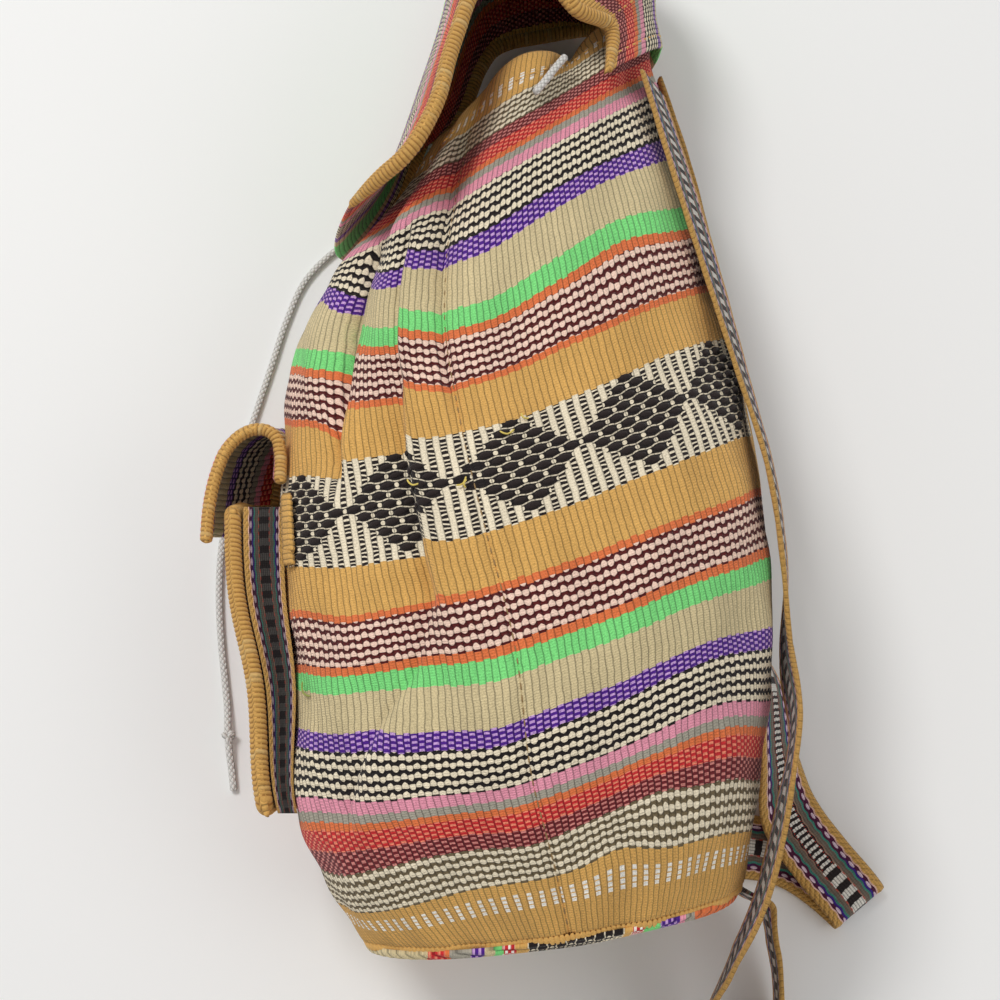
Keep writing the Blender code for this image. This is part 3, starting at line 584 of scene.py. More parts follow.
def slack(shares, place):
    """Waves and creases of cloth that nothing stretches."""
    a, b = shares * 2 * math.pi, place * 2 * math.pi
    waves = (np.sin(5 * a + 9 * b + 1.3) + np.sin(9 * a - 6 * b + 0.4) + 0.8 * np.sin(14 * a + 13 * b + 2.2)
             + 0.6 * np.sin(21 * a - 17 * b + 5.0) + 0.5 * np.sin(3 * a + 27 * b + 3.1))
    height = SLACK_RISE * waves
    for route, fade, groove, drop, _, _ in CREASES:
        shown, off = crease_reach(route, fade, shares, place)
        off = off * GIRTH
        front = eased(off / CREASE_WIDTH + 0.5) * np.exp(-np.maximum(off, 0.0) / CREASE_DROP_REACH)
        height -= shown * (groove * np.exp(-(off / CREASE_WIDTH) ** 2) + drop * front)
    return height


def stripe_drift(shares, place):
    """How far the stripes lie towards the base from their even place, in millimetres."""
    drift = np.zeros_like(shares)
    for way, at, reach_round, reach_along, shift in DRIFTS:
        drift += shift * np.exp(-((shares - way) / reach_round) ** 2 - ((place - at) / reach_along) ** 2)
    for route, fade, _, _, (front_slip, front_reach), (back_slip, back_reach) in CREASES:
        shown, off = crease_reach(route, fade, shares, place)
        front = eased(off * GIRTH / CREASE_SLIP_WIDTH + 0.5)
        drift += shown * front * front_slip * np.exp(-np.maximum(off, 0.0) / front_reach)
        drift += shown * (1.0 - front) * back_slip * np.exp(-np.maximum(-off, 0.0) / back_reach)
    return drift


def closed_shell(name, outer, inner, uv_outer, uv_inner, fabric):
    """A closed mesh from an outer and an inner grid whose rims have matching numbers of steps."""
    outer, inner = np.asarray(outer), np.asarray(inner)
    rows, columns = outer.shape[:2]
    in_rows, in_columns = inner.shape[:2]
    base = rows * columns
    row_step, column_step = (rows - 1) // (in_rows - 1), (columns - 1) // (in_columns - 1)
    faces = [(i * columns + j, i * columns + j + 1, (i + 1) * columns + j + 1, (i + 1) * columns + j)
             for i in range(rows - 1) for j in range(columns - 1)]

    def inside(i, j):
        return base + i * in_columns + j

    faces += [(inside(i, j), inside(i + 1, j), inside(i + 1, j + 1), inside(i, j + 1))
              for i in range(in_rows - 1) for j in range(in_columns - 1)]
    for j in range(in_columns - 1):
        span = range(j * column_step, (j + 1) * column_step + 1)
        faces.append((*(k for k in reversed(span)), inside(0, j), inside(0, j + 1)))
        faces.append((*((rows - 1) * columns + k for k in span), inside(in_rows - 1, j + 1),
                      inside(in_rows - 1, j)))
    for i in range(in_rows - 1):
        span = range(i * row_step, (i + 1) * row_step + 1)
        faces.append((*(k * columns for k in span), inside(i + 1, 0), inside(i, 0)))
        faces.append((*(k * columns + columns - 1 for k in reversed(span)), inside(i, in_columns - 1),
                      inside(i + 1, in_columns - 1)))
    points = np.concatenate((outer.reshape(-1, 3), inner.reshape(-1, 3)))
    uv = np.concatenate((np.asarray(uv_outer).reshape(-1, 2), np.asarray(uv_inner).reshape(-1, 2)))
    piece = mesh_piece(name, points, faces, uv)
    centre = Vector(points.mean(axis=0))
    some = [piece.data.polygons[k] for k in range(0, len(faces), 7)]
    if sum(face.area * face.normal.dot(face.center - centre) for face in some) < 0:
        piece.data.flip_normals()
    piece.data.materials.append(fabric)
    return piece


# Colours of the yarn
MUSTARD = (0.660, 0.375, 0.105)
BEIGE = (0.610, 0.500, 0.285)
GREEN = (0.200, 0.680, 0.205)
PURPLE = (0.070, 0.012, 0.230)
LILAC = (0.560, 0.340, 0.640)
ORANGE = (0.700, 0.170, 0.055)
RED = (0.540, 0.022, 0.026)
SALMON = (0.800, 0.250, 0.150)
MAROON = (0.150, 0.014, 0.018)
ROSE = (0.620, 0.230, 0.200)
PINK = (0.760, 0.300, 0.390)
GREY = (0.360, 0.330, 0.265)
CREAM = (0.800, 0.700, 0.520)
BLACK = (0.014, 0.009, 0.009)
DARK_RED = (0.095, 0.010, 0.010)
BLUSH = (0.840, 0.600, 0.480)
OLIVE = (0.160, 0.118, 0.062)
WHITE = (0.860, 0.820, 0.740)
# Stripes from the base to the middle of the bag, in millimetres: start, weave, ground, second yarn
WALL_STRIPES = (
    (0.0, "plain", MUSTARD, MUSTARD), (19.0, "tally", MUSTARD, WHITE), (29.0, "plain", MUSTARD, MUSTARD),
    (35.0, "speckle", CREAM, OLIVE), (59.0, "dash", MAROON, ROSE), (68.0, "dash", RED, SALMON),
    (77.5, "plain", ORANGE, ORANGE), (81.5, "plain", GREY, GREY), (86.0, "plain", PINK, PINK),
    (92.0, "speckle", CREAM, BLACK), (115.5, "dash", PURPLE, LILAC), (125.0, "plain", BEIGE, BEIGE),
    (146.5, "plain", GREEN, GREEN), (157.5, "plain", ORANGE, ORANGE), (161.5, "speckle", BLUSH, DARK_RED),
    (186.5, "plain", ORANGE, ORANGE), (190.0, "plain", MUSTARD, MUSTARD), (215.0, "diamond", CREAM, BLACK),
)
WALL_MIDDLE = 240.0
# Middle, width and number of rows of the band that has diamonds
WALL_DIAMONDS = (240.0, 50.0, 12)
# Each weave's marks in the ramp that tells them apart: red, green and alpha
WEAVES = {"plain": (0, 0, 0), "speckle": (1, 0, 0), "tally": (0.5, 0, 0), "dash": (0, 1, 0),
          "diamond": (0, 0, 1)}
SPECKLE_PITCH = 4.75
SPECKLE_WAVE = 0.12
DASH_PITCH = 2.75
TALLY_PITCH = 2.5
PICK_PITCH = 1.35
DIAMOND_RIBS = 18
FLOAT_RIBS = 3
RIB_WANDER = 0.45
YARN_SCALE, HAIR_SCALE, DYE_SCALE, WANDER_SCALE = 1.1, 2.6, 0.045, 0.13
LOZENGE_MARGIN = 0.6
CLOTH_RELIEF = 0.0011


def stripe_ramp(share, stops):
    """A colour ramp without blending. Each stop is a share and four numbers."""
    node = share.tree.nodes.new("ShaderNodeValToRGB")
    node.color_ramp.interpolation = "CONSTANT"
    marks = node.color_ramp.elements
    while len(marks) > 1:
        marks.remove(marks[-1])
    marks[0].position, marks[0].color = stops[0]
    for place, colour in stops[1:]:
        marks.new(place).color = colour
    share.tree.links.new(share.socket, node.inputs["Fac"])
    return node


def striped_cloth(name, stripes, middle, diamonds=WALL_DIAMONDS):
    """Ribbed cloth with stripes that mirror about their middle, each in its own weave."""
    fabric, tree, shader = new_fabric(name)
    straight, v, uv = weave_uv(tree)
    stretched = tree.nodes.new("ShaderNodeVectorMath")
    stretched.operation = "MULTIPLY"
    tree.links.new(uv, stretched.inputs[0])
    stretched.inputs[1].default_value = (RIB_PITCH * 1000, 1.0, 0.0)
    cloth_at = stretched.outputs[0]
    yarn, hairs = fuzz(tree, YARN_SCALE, 3.0, cloth_at), fuzz(tree, HAIR_SCALE, 2.0, cloth_at)
    dye, wander = fuzz(tree, DYE_SCALE, 2.0, cloth_at), fuzz(tree, WANDER_SCALE, 3.0, cloth_at) - 0.5
    u = straight + wander * RIB_WANDER
    odd = u.floor() % 2.0
    each = u.floor().drawn()
    mound = u.part().sine()

    # The stripes' edges step up and down from rib to rib
    jagged = v + (odd * 2.0 - 1.0) * 0.30 + each * 0.45
    share = (middle - abs(jagged - middle)) / middle
    ground = stripe_ramp(share, [(s / middle, (*g, 1.0)) for s, _, g, _ in stripes])
    second = stripe_ramp(share, [(s / middle, (*c, 1.0)) for s, _, _, c in stripes])
    kinds = stripe_ramp(share, [
        (s / middle, (WEAVES[k][0], WEAVES[k][1], s / middle, WEAVES[k][2])) for s, k, _, _ in stripes])
    kind = tree.nodes.new("ShaderNodeSeparateColor")
    tree.links.new(kinds.outputs["Color"], kind.inputs[0])
    rows_kind, is_dash, start = (Amount(tree, socket) for socket in kind.outputs)
    is_speckle = rows_kind > 0.75
    is_tally = maths(tree, "COMPARE", rows_kind, 0.5, 0.1)
    is_diamond = Amount(tree, kinds.outputs["Alpha"])
    into = middle - abs(v - middle) - start * middle

    # Waved lines of dark yarn between rows of light bumps, one bump on each rib
    from_row = (into / SPECKLE_PITCH + (u - 0.5).cosine() * SPECKLE_WAVE + wander * 0.30).from_centre()
    edge = from_row + (1.0 - mound) * 0.20 + (yarn - 0.5) * 0.14
    speckle = edge.ramp(0.305, 0.365) * is_speckle
    bumps = is_speckle * (1.0 - from_row ** 2.0 * 6.0)

    # Short light dashes in brick order
    from_dash = (into / DASH_PITCH + odd * 0.5).from_centre()
    dash = from_dash.ramp(0.16, 0.28, 1.0, 0.0) * mound.ramp(0.22, 0.62) * (
        is_dash * yarn.ramp(0.30, 0.50, 0.55, 1.0))

    # Every other rib carries a row of short light stitches
    from_pick = (into / TALLY_PITCH).from_centre()
    tally = is_tally * odd * mound.ramp(0.25, 0.55) * from_pick.ramp(0.34, 0.42, 1.0, 0.0)

    # Lozenges of long dark floats in brick order, with a light dot between floats and a light thread
    # between rows. Outside them, light ribs take turns with ribs of stacked dark dashes.
    band_middle, band_width, band_rows = diamonds
    even = (v - (band_middle - band_width / 2)) / (band_width / band_rows)
    swell = ((u - 0.5) * (2 / FLOAT_RIBS)).cosine() * even.cosine()
    level = even - swell * 0.10
    shift = (level.floor() % 2.0) * (FLOAT_RIBS / 2)
    from_level = level.from_centre()
    reach = (1.0 - abs(level.floor() + (0.5 - band_rows / 2)) / (band_rows / 2)) * (DIAMOND_RIBS / 2)
    cell = (u + (shift - 0.5)) / FLOAT_RIBS
    from_float = cell.from_centre()
    float_rib = (cell.floor() + 0.5) * FLOAT_RIBS - shift
    away = abs(maths(tree, "WRAP", float_rib, DIAMOND_RIBS / 2, -DIAMOND_RIBS / 2))
    in_diamond = away < reach + LOZENGE_MARGIN
    far = (from_float / 0.39) ** 4.0 + (from_level / 0.40) ** 4.0
    floats = far.ramp(0.8, 1.1, 1.0, 0.0) * in_diamond
    from_dot = ((0.5 - from_float) / 0.125) ** 2.0 + (from_level / 0.34) ** 2.0
    thread = from_level.ramp(0.405, 0.440) * 0.85
    light = maths(tree, "MAXIMUM", from_dot.ramp(0.7, 1.1, 1.0, 0.0), thread)
    stacked = (level * 2.0).from_centre().ramp(0.29, 0.36, 1.0, 0.0) * odd * mound.ramp(0.02, 0.16)
    black = (in_diamond * (1.0 - light) + stacked * (1.0 - in_diamond)) * is_diamond
    colour = blended(speckle + dash + (tally + black), ground.outputs["Color"], second.outputs["Color"])

    # Painted shade as thin uneven dark lines in the grooves between the ribs, faint painted shade between the
    # picks of yarn across them, uneven dye and fuzz
    groove_shade = 1.0 - mound.ramp(0.0, 0.56, 1.0, 0.0) * yarn.ramp(0.30, 0.70, 0.30, 0.74)
    picks = (v * (2 / PICK_PITCH) + (odd + yarn * (4.0 / math.pi))).sine()
    uneven = yarn * 1.05 + dye * 0.26 + (hairs - 0.5) * 0.95 + each * 0.12 + picks * 0.055
    relief = mound * 0.45 + picks * 0.10 + bumps * 0.55 + floats * 0.55 + (yarn + hairs) * 0.28
    finish_fabric(tree, shader, colour, groove_shade * (uneven + 0.46), relief, CLOTH_RELIEF)
    return fabric


def stud_tree():
    """Node tree that sets a small rounded shape on every point, turned as the point says."""
    tree = bpy.data.node_groups.new("shapes_on_points", "GeometryNodeTree")
    for label, kind in (("Points", "Geometry"), ("Size", "Vector"), ("Least", "Float"), ("Most", "Float"),
                        ("Seed", "Int"), ("Yarn", "Material")):
        tree.interface.new_socket(name=label, in_out="INPUT", socket_type="NodeSocket" + kind)
    tree.interface.new_socket(name="Shapes", in_out="OUTPUT", socket_type="NodeSocketGeometry")
    given, shape, blunt, turn, turned, vary, scaled, spread, whole, soft, dressed, result = (
        tree.nodes.new(kind) for kind in (
            "NodeGroupInput", "GeometryNodeMeshUVSphere", "GeometryNodeTransform",
            "GeometryNodeInputNamedAttribute", "FunctionNodeEulerToRotation", "FunctionNodeRandomValue",
            "ShaderNodeVectorMath", "GeometryNodeInstanceOnPoints", "GeometryNodeRealizeInstances",
            "GeometryNodeSetShadeSmooth", "GeometryNodeSetMaterial", "NodeGroupOutput"))
    shape.inputs["Segments"].default_value = STUD_SEGMENTS
    shape.inputs["Rings"].default_value = STUD_RINGS
    shape.inputs["Radius"].default_value = 0.5
    blunt.inputs["Rotation"].default_value = (0.0, 0.0, math.pi / STUD_SEGMENTS)
    turn.data_type, vary.data_type, scaled.operation = "FLOAT_VECTOR", "FLOAT", "SCALE"
    turn.inputs["Name"].default_value = "turn"
    for giver, out, taker, into in (
            (given, "Points", spread, "Points"), (shape, "Mesh", blunt, "Geometry"),
            (blunt, "Geometry", spread, "Instance"), (turn, "Attribute", turned, "Euler"),
            (turned, "Rotation", spread, "Rotation"), (given, "Least", vary, 2), (given, "Most", vary, 3),
            (given, "Seed", vary, "Seed"), (given, "Size", scaled, 0), (vary, 1, scaled, "Scale"),
            (scaled, "Vector", spread, "Scale"), (spread, "Instances", whole, "Geometry"),
            (whole, "Geometry", soft, "Geometry"), (soft, "Geometry", dressed, "Geometry"),
            (given, "Yarn", dressed, "Material"), (dressed, "Geometry", result, "Shapes")):
        tree.links.new(giver.outputs[out], taker.inputs[into])
    return tree


def studs(name, places, along, out, size, yarn, seed):
    """Rounded shapes at places above the floor, each with its length and its back to a given way."""
    clear = places[:, 2] > STUD_LEAST_HEIGHT
    places, along, out = places[clear], unit(along[clear]), out[clear]
    out = squared(out, along)
    side = np.cross(out, along)
    held = mesh_piece(name, places, [])
    turn = held.data.attributes.new("turn", "FLOAT_VECTOR", "POINT")
    angles = [Matrix(np.stack(axes, axis=1).tolist()).to_euler() for axes in zip(along, side, out)]
    turn.data.foreach_set("vector", np.array(angles, dtype=np.float32).ravel())
    maker = held.modifiers.new("shapes", "NODES")
    maker.node_group = stud_shapes
    given = {"Size": size, "Least": STUD_LEAST, "Most": STUD_MOST, "Seed": seed, "Yarn": yarn}
    for socket in stud_shapes.interface.items_tree:
        if socket.name in given:
            maker[socket.identifier] = given[socket.name]
    made = bpy.data.meshes.new_from_object(held.evaluated_get(bpy.context.evaluated_depsgraph_get()))
    held.modifiers.clear()
    held.data = made
    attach(held, "root")


def thread_yarn(name, colour):
    fabric, tree, shader = new_fabric(name)
    fleck = fuzz(tree, 1400.0)
    plain = blended(fleck, colour, tuple(min(1.0, c * 1.15 + 0.01) for c in colour))
    finish_fabric(tree, shader, plain, 0.70 + fleck * 0.60, fleck, 0.0003)
    return fabric


STUD_SEGMENTS = 8
STUD_RINGS = 5
STUD_LEAST_HEIGHT = 0.0016
STUD_LEAST, STUD_MOST = 0.88, 1.10
stud_shapes = stud_tree()
wall_cloth = striped_cloth("striped_wall_cloth", WALL_STRIPES, WALL_MIDDLE)
RIB_PROFILE = (0.0, 0.78, 1.0, 0.78)
# Share round the bag at the middle of a diamond on each panel
DIAMOND_FRONT = 0.150
DIAMOND_BACK = -0.035


def wall_side(name, first, last, diamond, node):
    """One panel between two seams, with its ribs, and a plainer inner face."""
    columns = RIBS_EACH_PANEL * RIB_STEPS
    shares = np.linspace(first, last, columns + 1)
    ribs = np.array([RIB_PROFILE[j % RIB_STEPS] for j in range(columns + 1)]) * RIB_RISE
    lining = np.linspace(first, last, LINING_COLUMNS + 1)
    u = (shares - diamond) * 2 * RIBS_EACH_PANEL + 0.5
    u_lining = (lining - diamond) * 2 * RIBS_EACH_PANEL + 0.5
    places = np.linspace(0.0, CLOTH_LENGTH, WALL_ROWS + 1)
    outer, inner, uv_outer, uv_inner = [], [], [], []
    for i, place in enumerate(places):
        at_edge = min(place, CLOTH_LENGTH - place)
        rounding = EDGE_ROUND / 2 * (1 - min(1.0, at_edge / EDGE_ROUND)) ** 2
        from_seam = np.minimum(shares - first, last - shares) * GIRTH
        seam = SEAM_DIP * np.exp(-(from_seam / SEAM_REACH) ** 2)
        outer.append(on_wall(shares, place, ribs - seam - rounding + slack(shares, place)))
        uv_outer.append(np.stack((u, place * 1000 + stripe_drift(shares, place)), axis=1))
        if i % (WALL_ROWS // LINING_ROWS) == 0:
            inner.append(on_wall(lining, place, -WALL + slack(lining, place)))
            uv_inner.append(np.stack((u_lining, place * 1000 + stripe_drift(lining, place)), axis=1))
    piece = closed_shell(name, outer, inner, uv_outer, uv_inner, wall_cloth)
    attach(piece, "root")
    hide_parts(node)


wall_side("front_wall_cloth", 0.0, 0.5, DIAMOND_FRONT, "front_panel")
wall_side("back_wall_cloth", -0.5, 0.0, DIAMOND_BACK, "back_panel")


def wall_spots(ways, places, height):
    """Points on the wall's cloth, with unit vectors round it, towards the mouth and outwards."""
    spots, rounds, ups, outs = [], [], [], []
    for way, place in zip(ways, places):
        near = [on_wall([w], p, height + float(slack(np.array([w]), p)[0]))[0] for w, p in (
            (way, place), (way + 0.002, place), (way, place + 0.001))]
        above = on_wall([way], place, height + 0.001 + float(slack(np.array([way]), place)[0]))[0]
        spots.append(near[0])
        rounds.append(near[1] - near[0])
        ups.append(near[2] - near[0])
        outs.append(above - near[0])
    return np.array(spots), unit(np.array(rounds)), unit(np.array(ups)), unit(np.array(outs))


# The diamond band's dark floats stand up from the cloth, each over two of its ribs
FLOAT_SIZE = (0.0070, 0.0034, 0.0021)
SEAM_FREE = 0.008
float_yarn = thread_yarn("black_float_yarn", (0.020, 0.012, 0.011))


def float_places(first, last, diamond):
    """Way round and place of each float of one panel, as the cloth's pattern has them."""
    ways, places = [], []
    middle, width, rows = WALL_DIAMONDS
    for row in range(rows):
        reach = (1.0 - abs(row + 0.5 - rows / 2) / (rows / 2)) * DIAMOND_RIBS / 2
        level = middle - width / 2 + (row + 0.5) / rows * width
        for cell in range(-RIBS_EACH_PANEL, RIBS_EACH_PANEL):
            rib = (cell + 0.5) * FLOAT_RIBS - (row % 2) * FLOAT_RIBS / 2
            away = abs((rib + DIAMOND_RIBS / 2) % DIAMOND_RIBS - DIAMOND_RIBS / 2)
            way = diamond + rib / (2 * RIBS_EACH_PANEL)
            if away < reach + LOZENGE_MARGIN and first + SEAM_FREE < way < last - SEAM_FREE:
                place = level / 1000
                for _ in range(4):
                    place = (level - float(stripe_drift(np.array([way]), place)[0])) / 1000
                ways.append(way)
                places.append(place)
    return ways, places


for name, first, last, diamond in (("front_wall_floats", 0.0, 0.5, DIAMOND_FRONT),
                                   ("back_wall_floats", -0.5, 0.0, DIAMOND_BACK)):
    spots, rounds, _, outs = wall_spots(*float_places(first, last, diamond), RIB_RISE * 0.6)
    studs(name, spots, rounds, outs, FLOAT_SIZE, float_yarn, seed=3)

# Side seams, the hem and the base seam are hand sewn: length, width and height of each one's stitches
SEAM_STITCH = (0.0036, 0.0007, 0.0006)
HEM_STITCH = (0.0040, 0.0011, 0.0009)
BASE_STITCH = (0.0050, 0.0031, 0.0012)
BASE_STITCH_OUT = 0.0012
SEAM_STITCH_PITCH = 0.0062
HEM_STITCHES = 75
HEM_STITCH_IN = 0.004
seam_yarn = thread_yarn("brown_seam_thread", (0.300, 0.190, 0.080))
mustard_yarn = thread_yarn("mustard_thread", MUSTARD)
seam_places = np.arange(0.008, 0.440, SEAM_STITCH_PITCH)
for name, way in (("upper_side_seam_stitches", 0.0), ("lower_side_seam_stitches", 0.499)):
    spots, _, ups, outs = wall_spots(np.full(len(seam_places), way), seam_places, -SEAM_DIP * 0.85)
    studs(name, spots, ups, outs, SEAM_STITCH, seam_yarn, seed=5)
hem_ways = np.linspace(-0.5, 0.5, HEM_STITCHES + 1)[:-1]
hem_place = CLOTH_LENGTH - HEM_WIDTH + HEM_STITCH_IN
spots, rounds, _, outs = wall_spots(hem_ways, np.full(HEM_STITCHES, hem_place), RIB_RISE)
studs("hem_stitches", spots, rounds, outs, HEM_STITCH, mustard_yarn, seed=7)
base_ways = (np.arange(-RIBS_EACH_PANEL, RIBS_EACH_PANEL) + 0.5) / (2 * RIBS_EACH_PANEL)
spots, _, ups, outs = wall_spots(base_ways, np.full(len(base_ways), 0.0006), -0.0002)
studs("base_seam_stitches", spots - ups * BASE_STITCH_OUT, ups, outs, BASE_STITCH, mustard_yarn, seed=9)

# Loose ends of yarn that stand out of the cloth: way round, place, how they lie, and length
LOOSE_ENDS = (
    (0.037, 0.246, 0.6, 0.0065), (0.004, 0.243, -0.5, 0.0060), (0.006, 0.238, 1.9, 0.0045),
    (-0.037, 0.258, 0.2, 0.0070), (-0.049, 0.261, 0.9, 0.0050),
)
LOOSE_GREEN = (0.166, 0.150, 1.1, 0.0085)
LOOSE_RADIUS = 0.00045
straw_yarn = thread_yarn("straw_yarn_end", (0.720, 0.560, 0.130))
olive_yarn = thread_yarn("olive_yarn_end", (0.300, 0.330, 0.080))
for k, (way, place, lie, long) in enumerate((*LOOSE_ENDS, LOOSE_GREEN)):
    spots, rounds, ups, outs = wall_spots([way], [place], RIB_RISE)
    reach = (math.cos(lie) * rounds[0] + math.sin(lie) * ups[0]) * long
    bend = np.cross(outs[0], reach) * 0.25
    ends = [spots[0] + reach * t + bend * math.sin(math.pi * t) + outs[0] * (
        0.0006 + 0.0022 * math.sin(math.pi * t * 0.7)) for t in (0.0, 0.25, 0.5, 0.75, 1.0)]
    loose = tube(f"loose_yarn_end_{k + 1}", smooth_line(ends, count=14), LOOSE_RADIUS, 6)
    loose.data.materials.append(olive_yarn if k == len(LOOSE_ENDS) else straw_yarn)
    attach(loose, "root")


# Base: an oval of the same cloth with its stripes turned upright, sewn in round the base seam and
# pushed out a little by the bag's own slack. Its ribs run from the front to the back.
BASE_REACH = 0.985
BASE_BULGE = 0.012
BASE_GAP = 0.0005
BASE_COLUMNS = 180
BASE_ROWS = 132
BASE_STRIPE_ZERO = 64.0
BASE_STRIPES = (
    (0.0, "plain", BEIGE, BEIGE), (31.5, "dash", RED, SALMON), (39.5, "plain", ORANGE, ORANGE),
    (41.5, "plain", GREY, GREY), (51.0, "dash", PURPLE, LILAC), (57.0, "plain", BEIGE, BEIGE),
    (61.5, "plain", GREEN, GREEN), (65.5, "dash", RED, WHITE), (70.5, "plain", MUSTARD, MUSTARD),
    (76.5, "diamond", CREAM, BLACK), (118.5, "plain", MUSTARD, MUSTARD), (122.5, "dash", RED, WHITE),
    (128.0, "plain", GREEN, GREEN), (135.5, "dash", PURPLE, LILAC), (143.5, "plain", PINK, PINK),
    (147.0, "plain", GREY, GREY), (151.0, "plain", ORANGE, ORANGE),
)
base_cloth = striped_cloth("striped_base_cloth", BASE_STRIPES, 240.0, (97.5, 42.0, 10))


def base_grid(columns, rows, out):
    """The base's face at a distance out, and its weave UV."""
    foot = Ring(0.0)
    across = np.linspace(-BASE_REACH, BASE_REACH, columns + 1)[:, None]
    up = np.linspace(-1.0, 1.0, rows + 1)[None, :]
    tall = (1.0 - np.abs(across) ** ROUNDNESS) ** (1 / ROUNDNESS)
    x = foot.mid_x + across * foot.half_x + 0.0 * up
    z = foot.mid_z + up * tall * foot.half_z
    u = z / RIB_PITCH
    rib = np.abs(np.sin(math.pi * u)) ** 0.6 * RIB_RISE
    from_end = (1 - np.abs(across / BASE_REACH)) * 1.6
    edge = np.clip(np.minimum(1 - np.abs(up) + 0 * x, from_end + 0 * x) / 0.07, 0, 1)
    rounded = 0.0014 * (1 - edge) ** 2
    waves = 0.0011 * np.sin(x * 70 + z * 25) * (1 - np.abs(up)) + 0.0008 * np.sin(x * 38 - z * 66 + 1.0)
    bulge = BASE_BULGE * (1.0 - across**2) * (1.0 - up**2)
    y = foot.y_at(x, z) - BASE_GAP - bulge - (out + (rib - rounded if out > 0 else 0.0)) + waves * edge
    return np.stack((x, y, z), axis=-1), np.stack((u, x * 1000 + BASE_STRIPE_ZERO), axis=-1)


base_outer, base_outer_uv = base_grid(BASE_COLUMNS, BASE_ROWS, WALL)
base_inner, base_inner_uv = base_grid(BASE_COLUMNS // 3, BASE_ROWS // 3, 0.0)
base = closed_shell("base_cloth", base_outer, base_inner, base_outer_uv, base_inner_uv, base_cloth)
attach(base, "root")
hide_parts("base_panel")


# Flap over the mouth: the same cloth with its stripes along it, sewn to the back of the neck. Both
# long edges are turned over a cord of yarn and overcast in mustard.
FLAP_LENGTH_ROWS = 22
FLAP_ROOT = 0.415
FLAP_SEWN = 0.026
FLAP_NEAR = -0.150
FLAP_FAR = -0.395
FLAP_STANDOFF = 0.0078
# Its upper edge, middle and lower edge, from behind the mouth round to the front
FLAP_GUIDES = (
    ((0.036, 0.252, 0.145), (0.080, 0.350, 0.085), (0.060, 0.372, 0.016)),
    ((0.016, 0.266, 0.160), (0.040, 0.378, 0.090), (0.030, 0.390, 0.016)),
    ((-0.008, 0.255, 0.163), (-0.008, 0.358, 0.090), (-0.012, 0.370, 0.016)),
    ((-0.023, 0.220, 0.160), (-0.036, 0.272, 0.082), (-0.040, 0.288, 0.017)),
    ((-0.032, 0.186, 0.156), (-0.058, 0.203, 0.074), (-0.058, 0.220, 0.019)),
    ((-0.046, 0.164, 0.149), (-0.072, 0.178, 0.069), (-0.070, 0.195, 0.018)),
    ((-0.060, 0.157, 0.138), (-0.081, 0.168, 0.066), (-0.079, 0.182, 0.017)),
    ((-0.076, 0.152, 0.120), (-0.090, 0.158, 0.062), (-0.087, 0.172, 0.017)),
)
# The far edge lies turned in on the floor, this far from the lower edge at each of those places
FLAP_TURNS = (
    (-0.008, -0.038, -0.011), (0.000, -0.060, -0.011), (0.010, -0.050, -0.011), (0.014, -0.026, -0.010),
    (0.002, 0.005, -0.004), (0.003, 0.004, -0.003), (0.003, 0.003, -0.003), (0.003, 0.003, -0.003),
)
FLAP_TURN_STEPS = 7
FLAP_WIDE = 216.0
FLAP_ROLL_RADIUS = 0.0040
FLAP_ROLL_FLAT = 0.035
FLAP_FINE_ROWS = 300
FLAP_FINE_COLUMNS = 120
FLAP_STRIPES = (
    (0.0, "plain", MUSTARD, MUSTARD), (9.0, "dash", MAROON, ROSE), (17.0, "dash", RED, SALMON),
    (26.0, "plain", ORANGE, ORANGE), (30.0, "plain", GREY, GREY), (34.5, "plain", PINK, PINK),
    (40.5, "speckle", CREAM, BLACK), (64.0, "dash", PURPLE, LILAC), (73.5, "plain", BEIGE, BEIGE),
    (86.0, "plain", GREEN, GREEN),
)
OVERCAST_PITCH = 0.0024
# A darker mustard painted in the grooves between the overcast wraps, as shade
OVERCAST_GROOVE_SHADE = (0.400, 0.185, 0.045)
OVERCAST_PALE = (0.80, 0.62, 0.30)
flap_cloth = striped_cloth("striped_flap_cloth", FLAP_STRIPES, FLAP_WIDE / 2)


# The inner face of a cloth has a quarter of the outer one's steps each way
INNER_STEP = 4


def refined(grid, rows, columns):
    """A coarse grid of points made smooth and fine, evenly spaced along its middle."""
    grid = np.asarray(grid, dtype=float)
    middle = grid[:, grid.shape[1] // 2]
    stops = arc_length(middle)
    grid = hermite(stops, grid, np.linspace(0.0, stops[-1], rows + 1))
    at = np.arange(grid.shape[1], dtype=float)
    return hermite(at, grid.transpose(1, 0, 2), np.linspace(0.0, at[-1], columns + 1)).transpose(1, 0, 2)


def grid_normals(grid):
    return unit(np.cross(np.gradient(grid, axis=1), np.gradient(grid, axis=0)))


def strip_cloth(name, grid, turn, wide, fabric, thick=WALL):
    """Ribbed cloth on a grid, with ribs across it and stripes along it. Turn is its face's side."""
    normals = grid_normals(grid) * turn
    rows, columns = grid.shape[:2]
    run = arc_length(grid[:, columns // 2])
    u = run / RIB_PITCH
    rib = np.abs(np.sin(math.pi * u)) ** 0.6 * RIB_RISE
    end = 1 - np.clip(np.minimum(run, run[-1] - run) / EDGE_ROUND, 0, 1)
    half = thick / 2 - thick * 0.35 * end**2
    outer = grid + normals * (half + rib)[:, None, None]
    inner = (grid - normals * half[:, None, None])[::INNER_STEP, ::INNER_STEP]
    share = np.linspace(0.0, 1.0, columns)
    uv = np.stack(np.broadcast_arrays(u[:, None], share[None, :] * wide), axis=-1)
    return closed_shell(name, outer, inner, uv, uv[::INNER_STEP, ::INNER_STEP], fabric), normals


def overcast_relief(run, angle):
    turns = run / OVERCAST_PITCH + angle / (2 * math.pi)
    return 0.13 * np.abs(np.sin(math.pi * turns)) ** 0.7 - 0.06


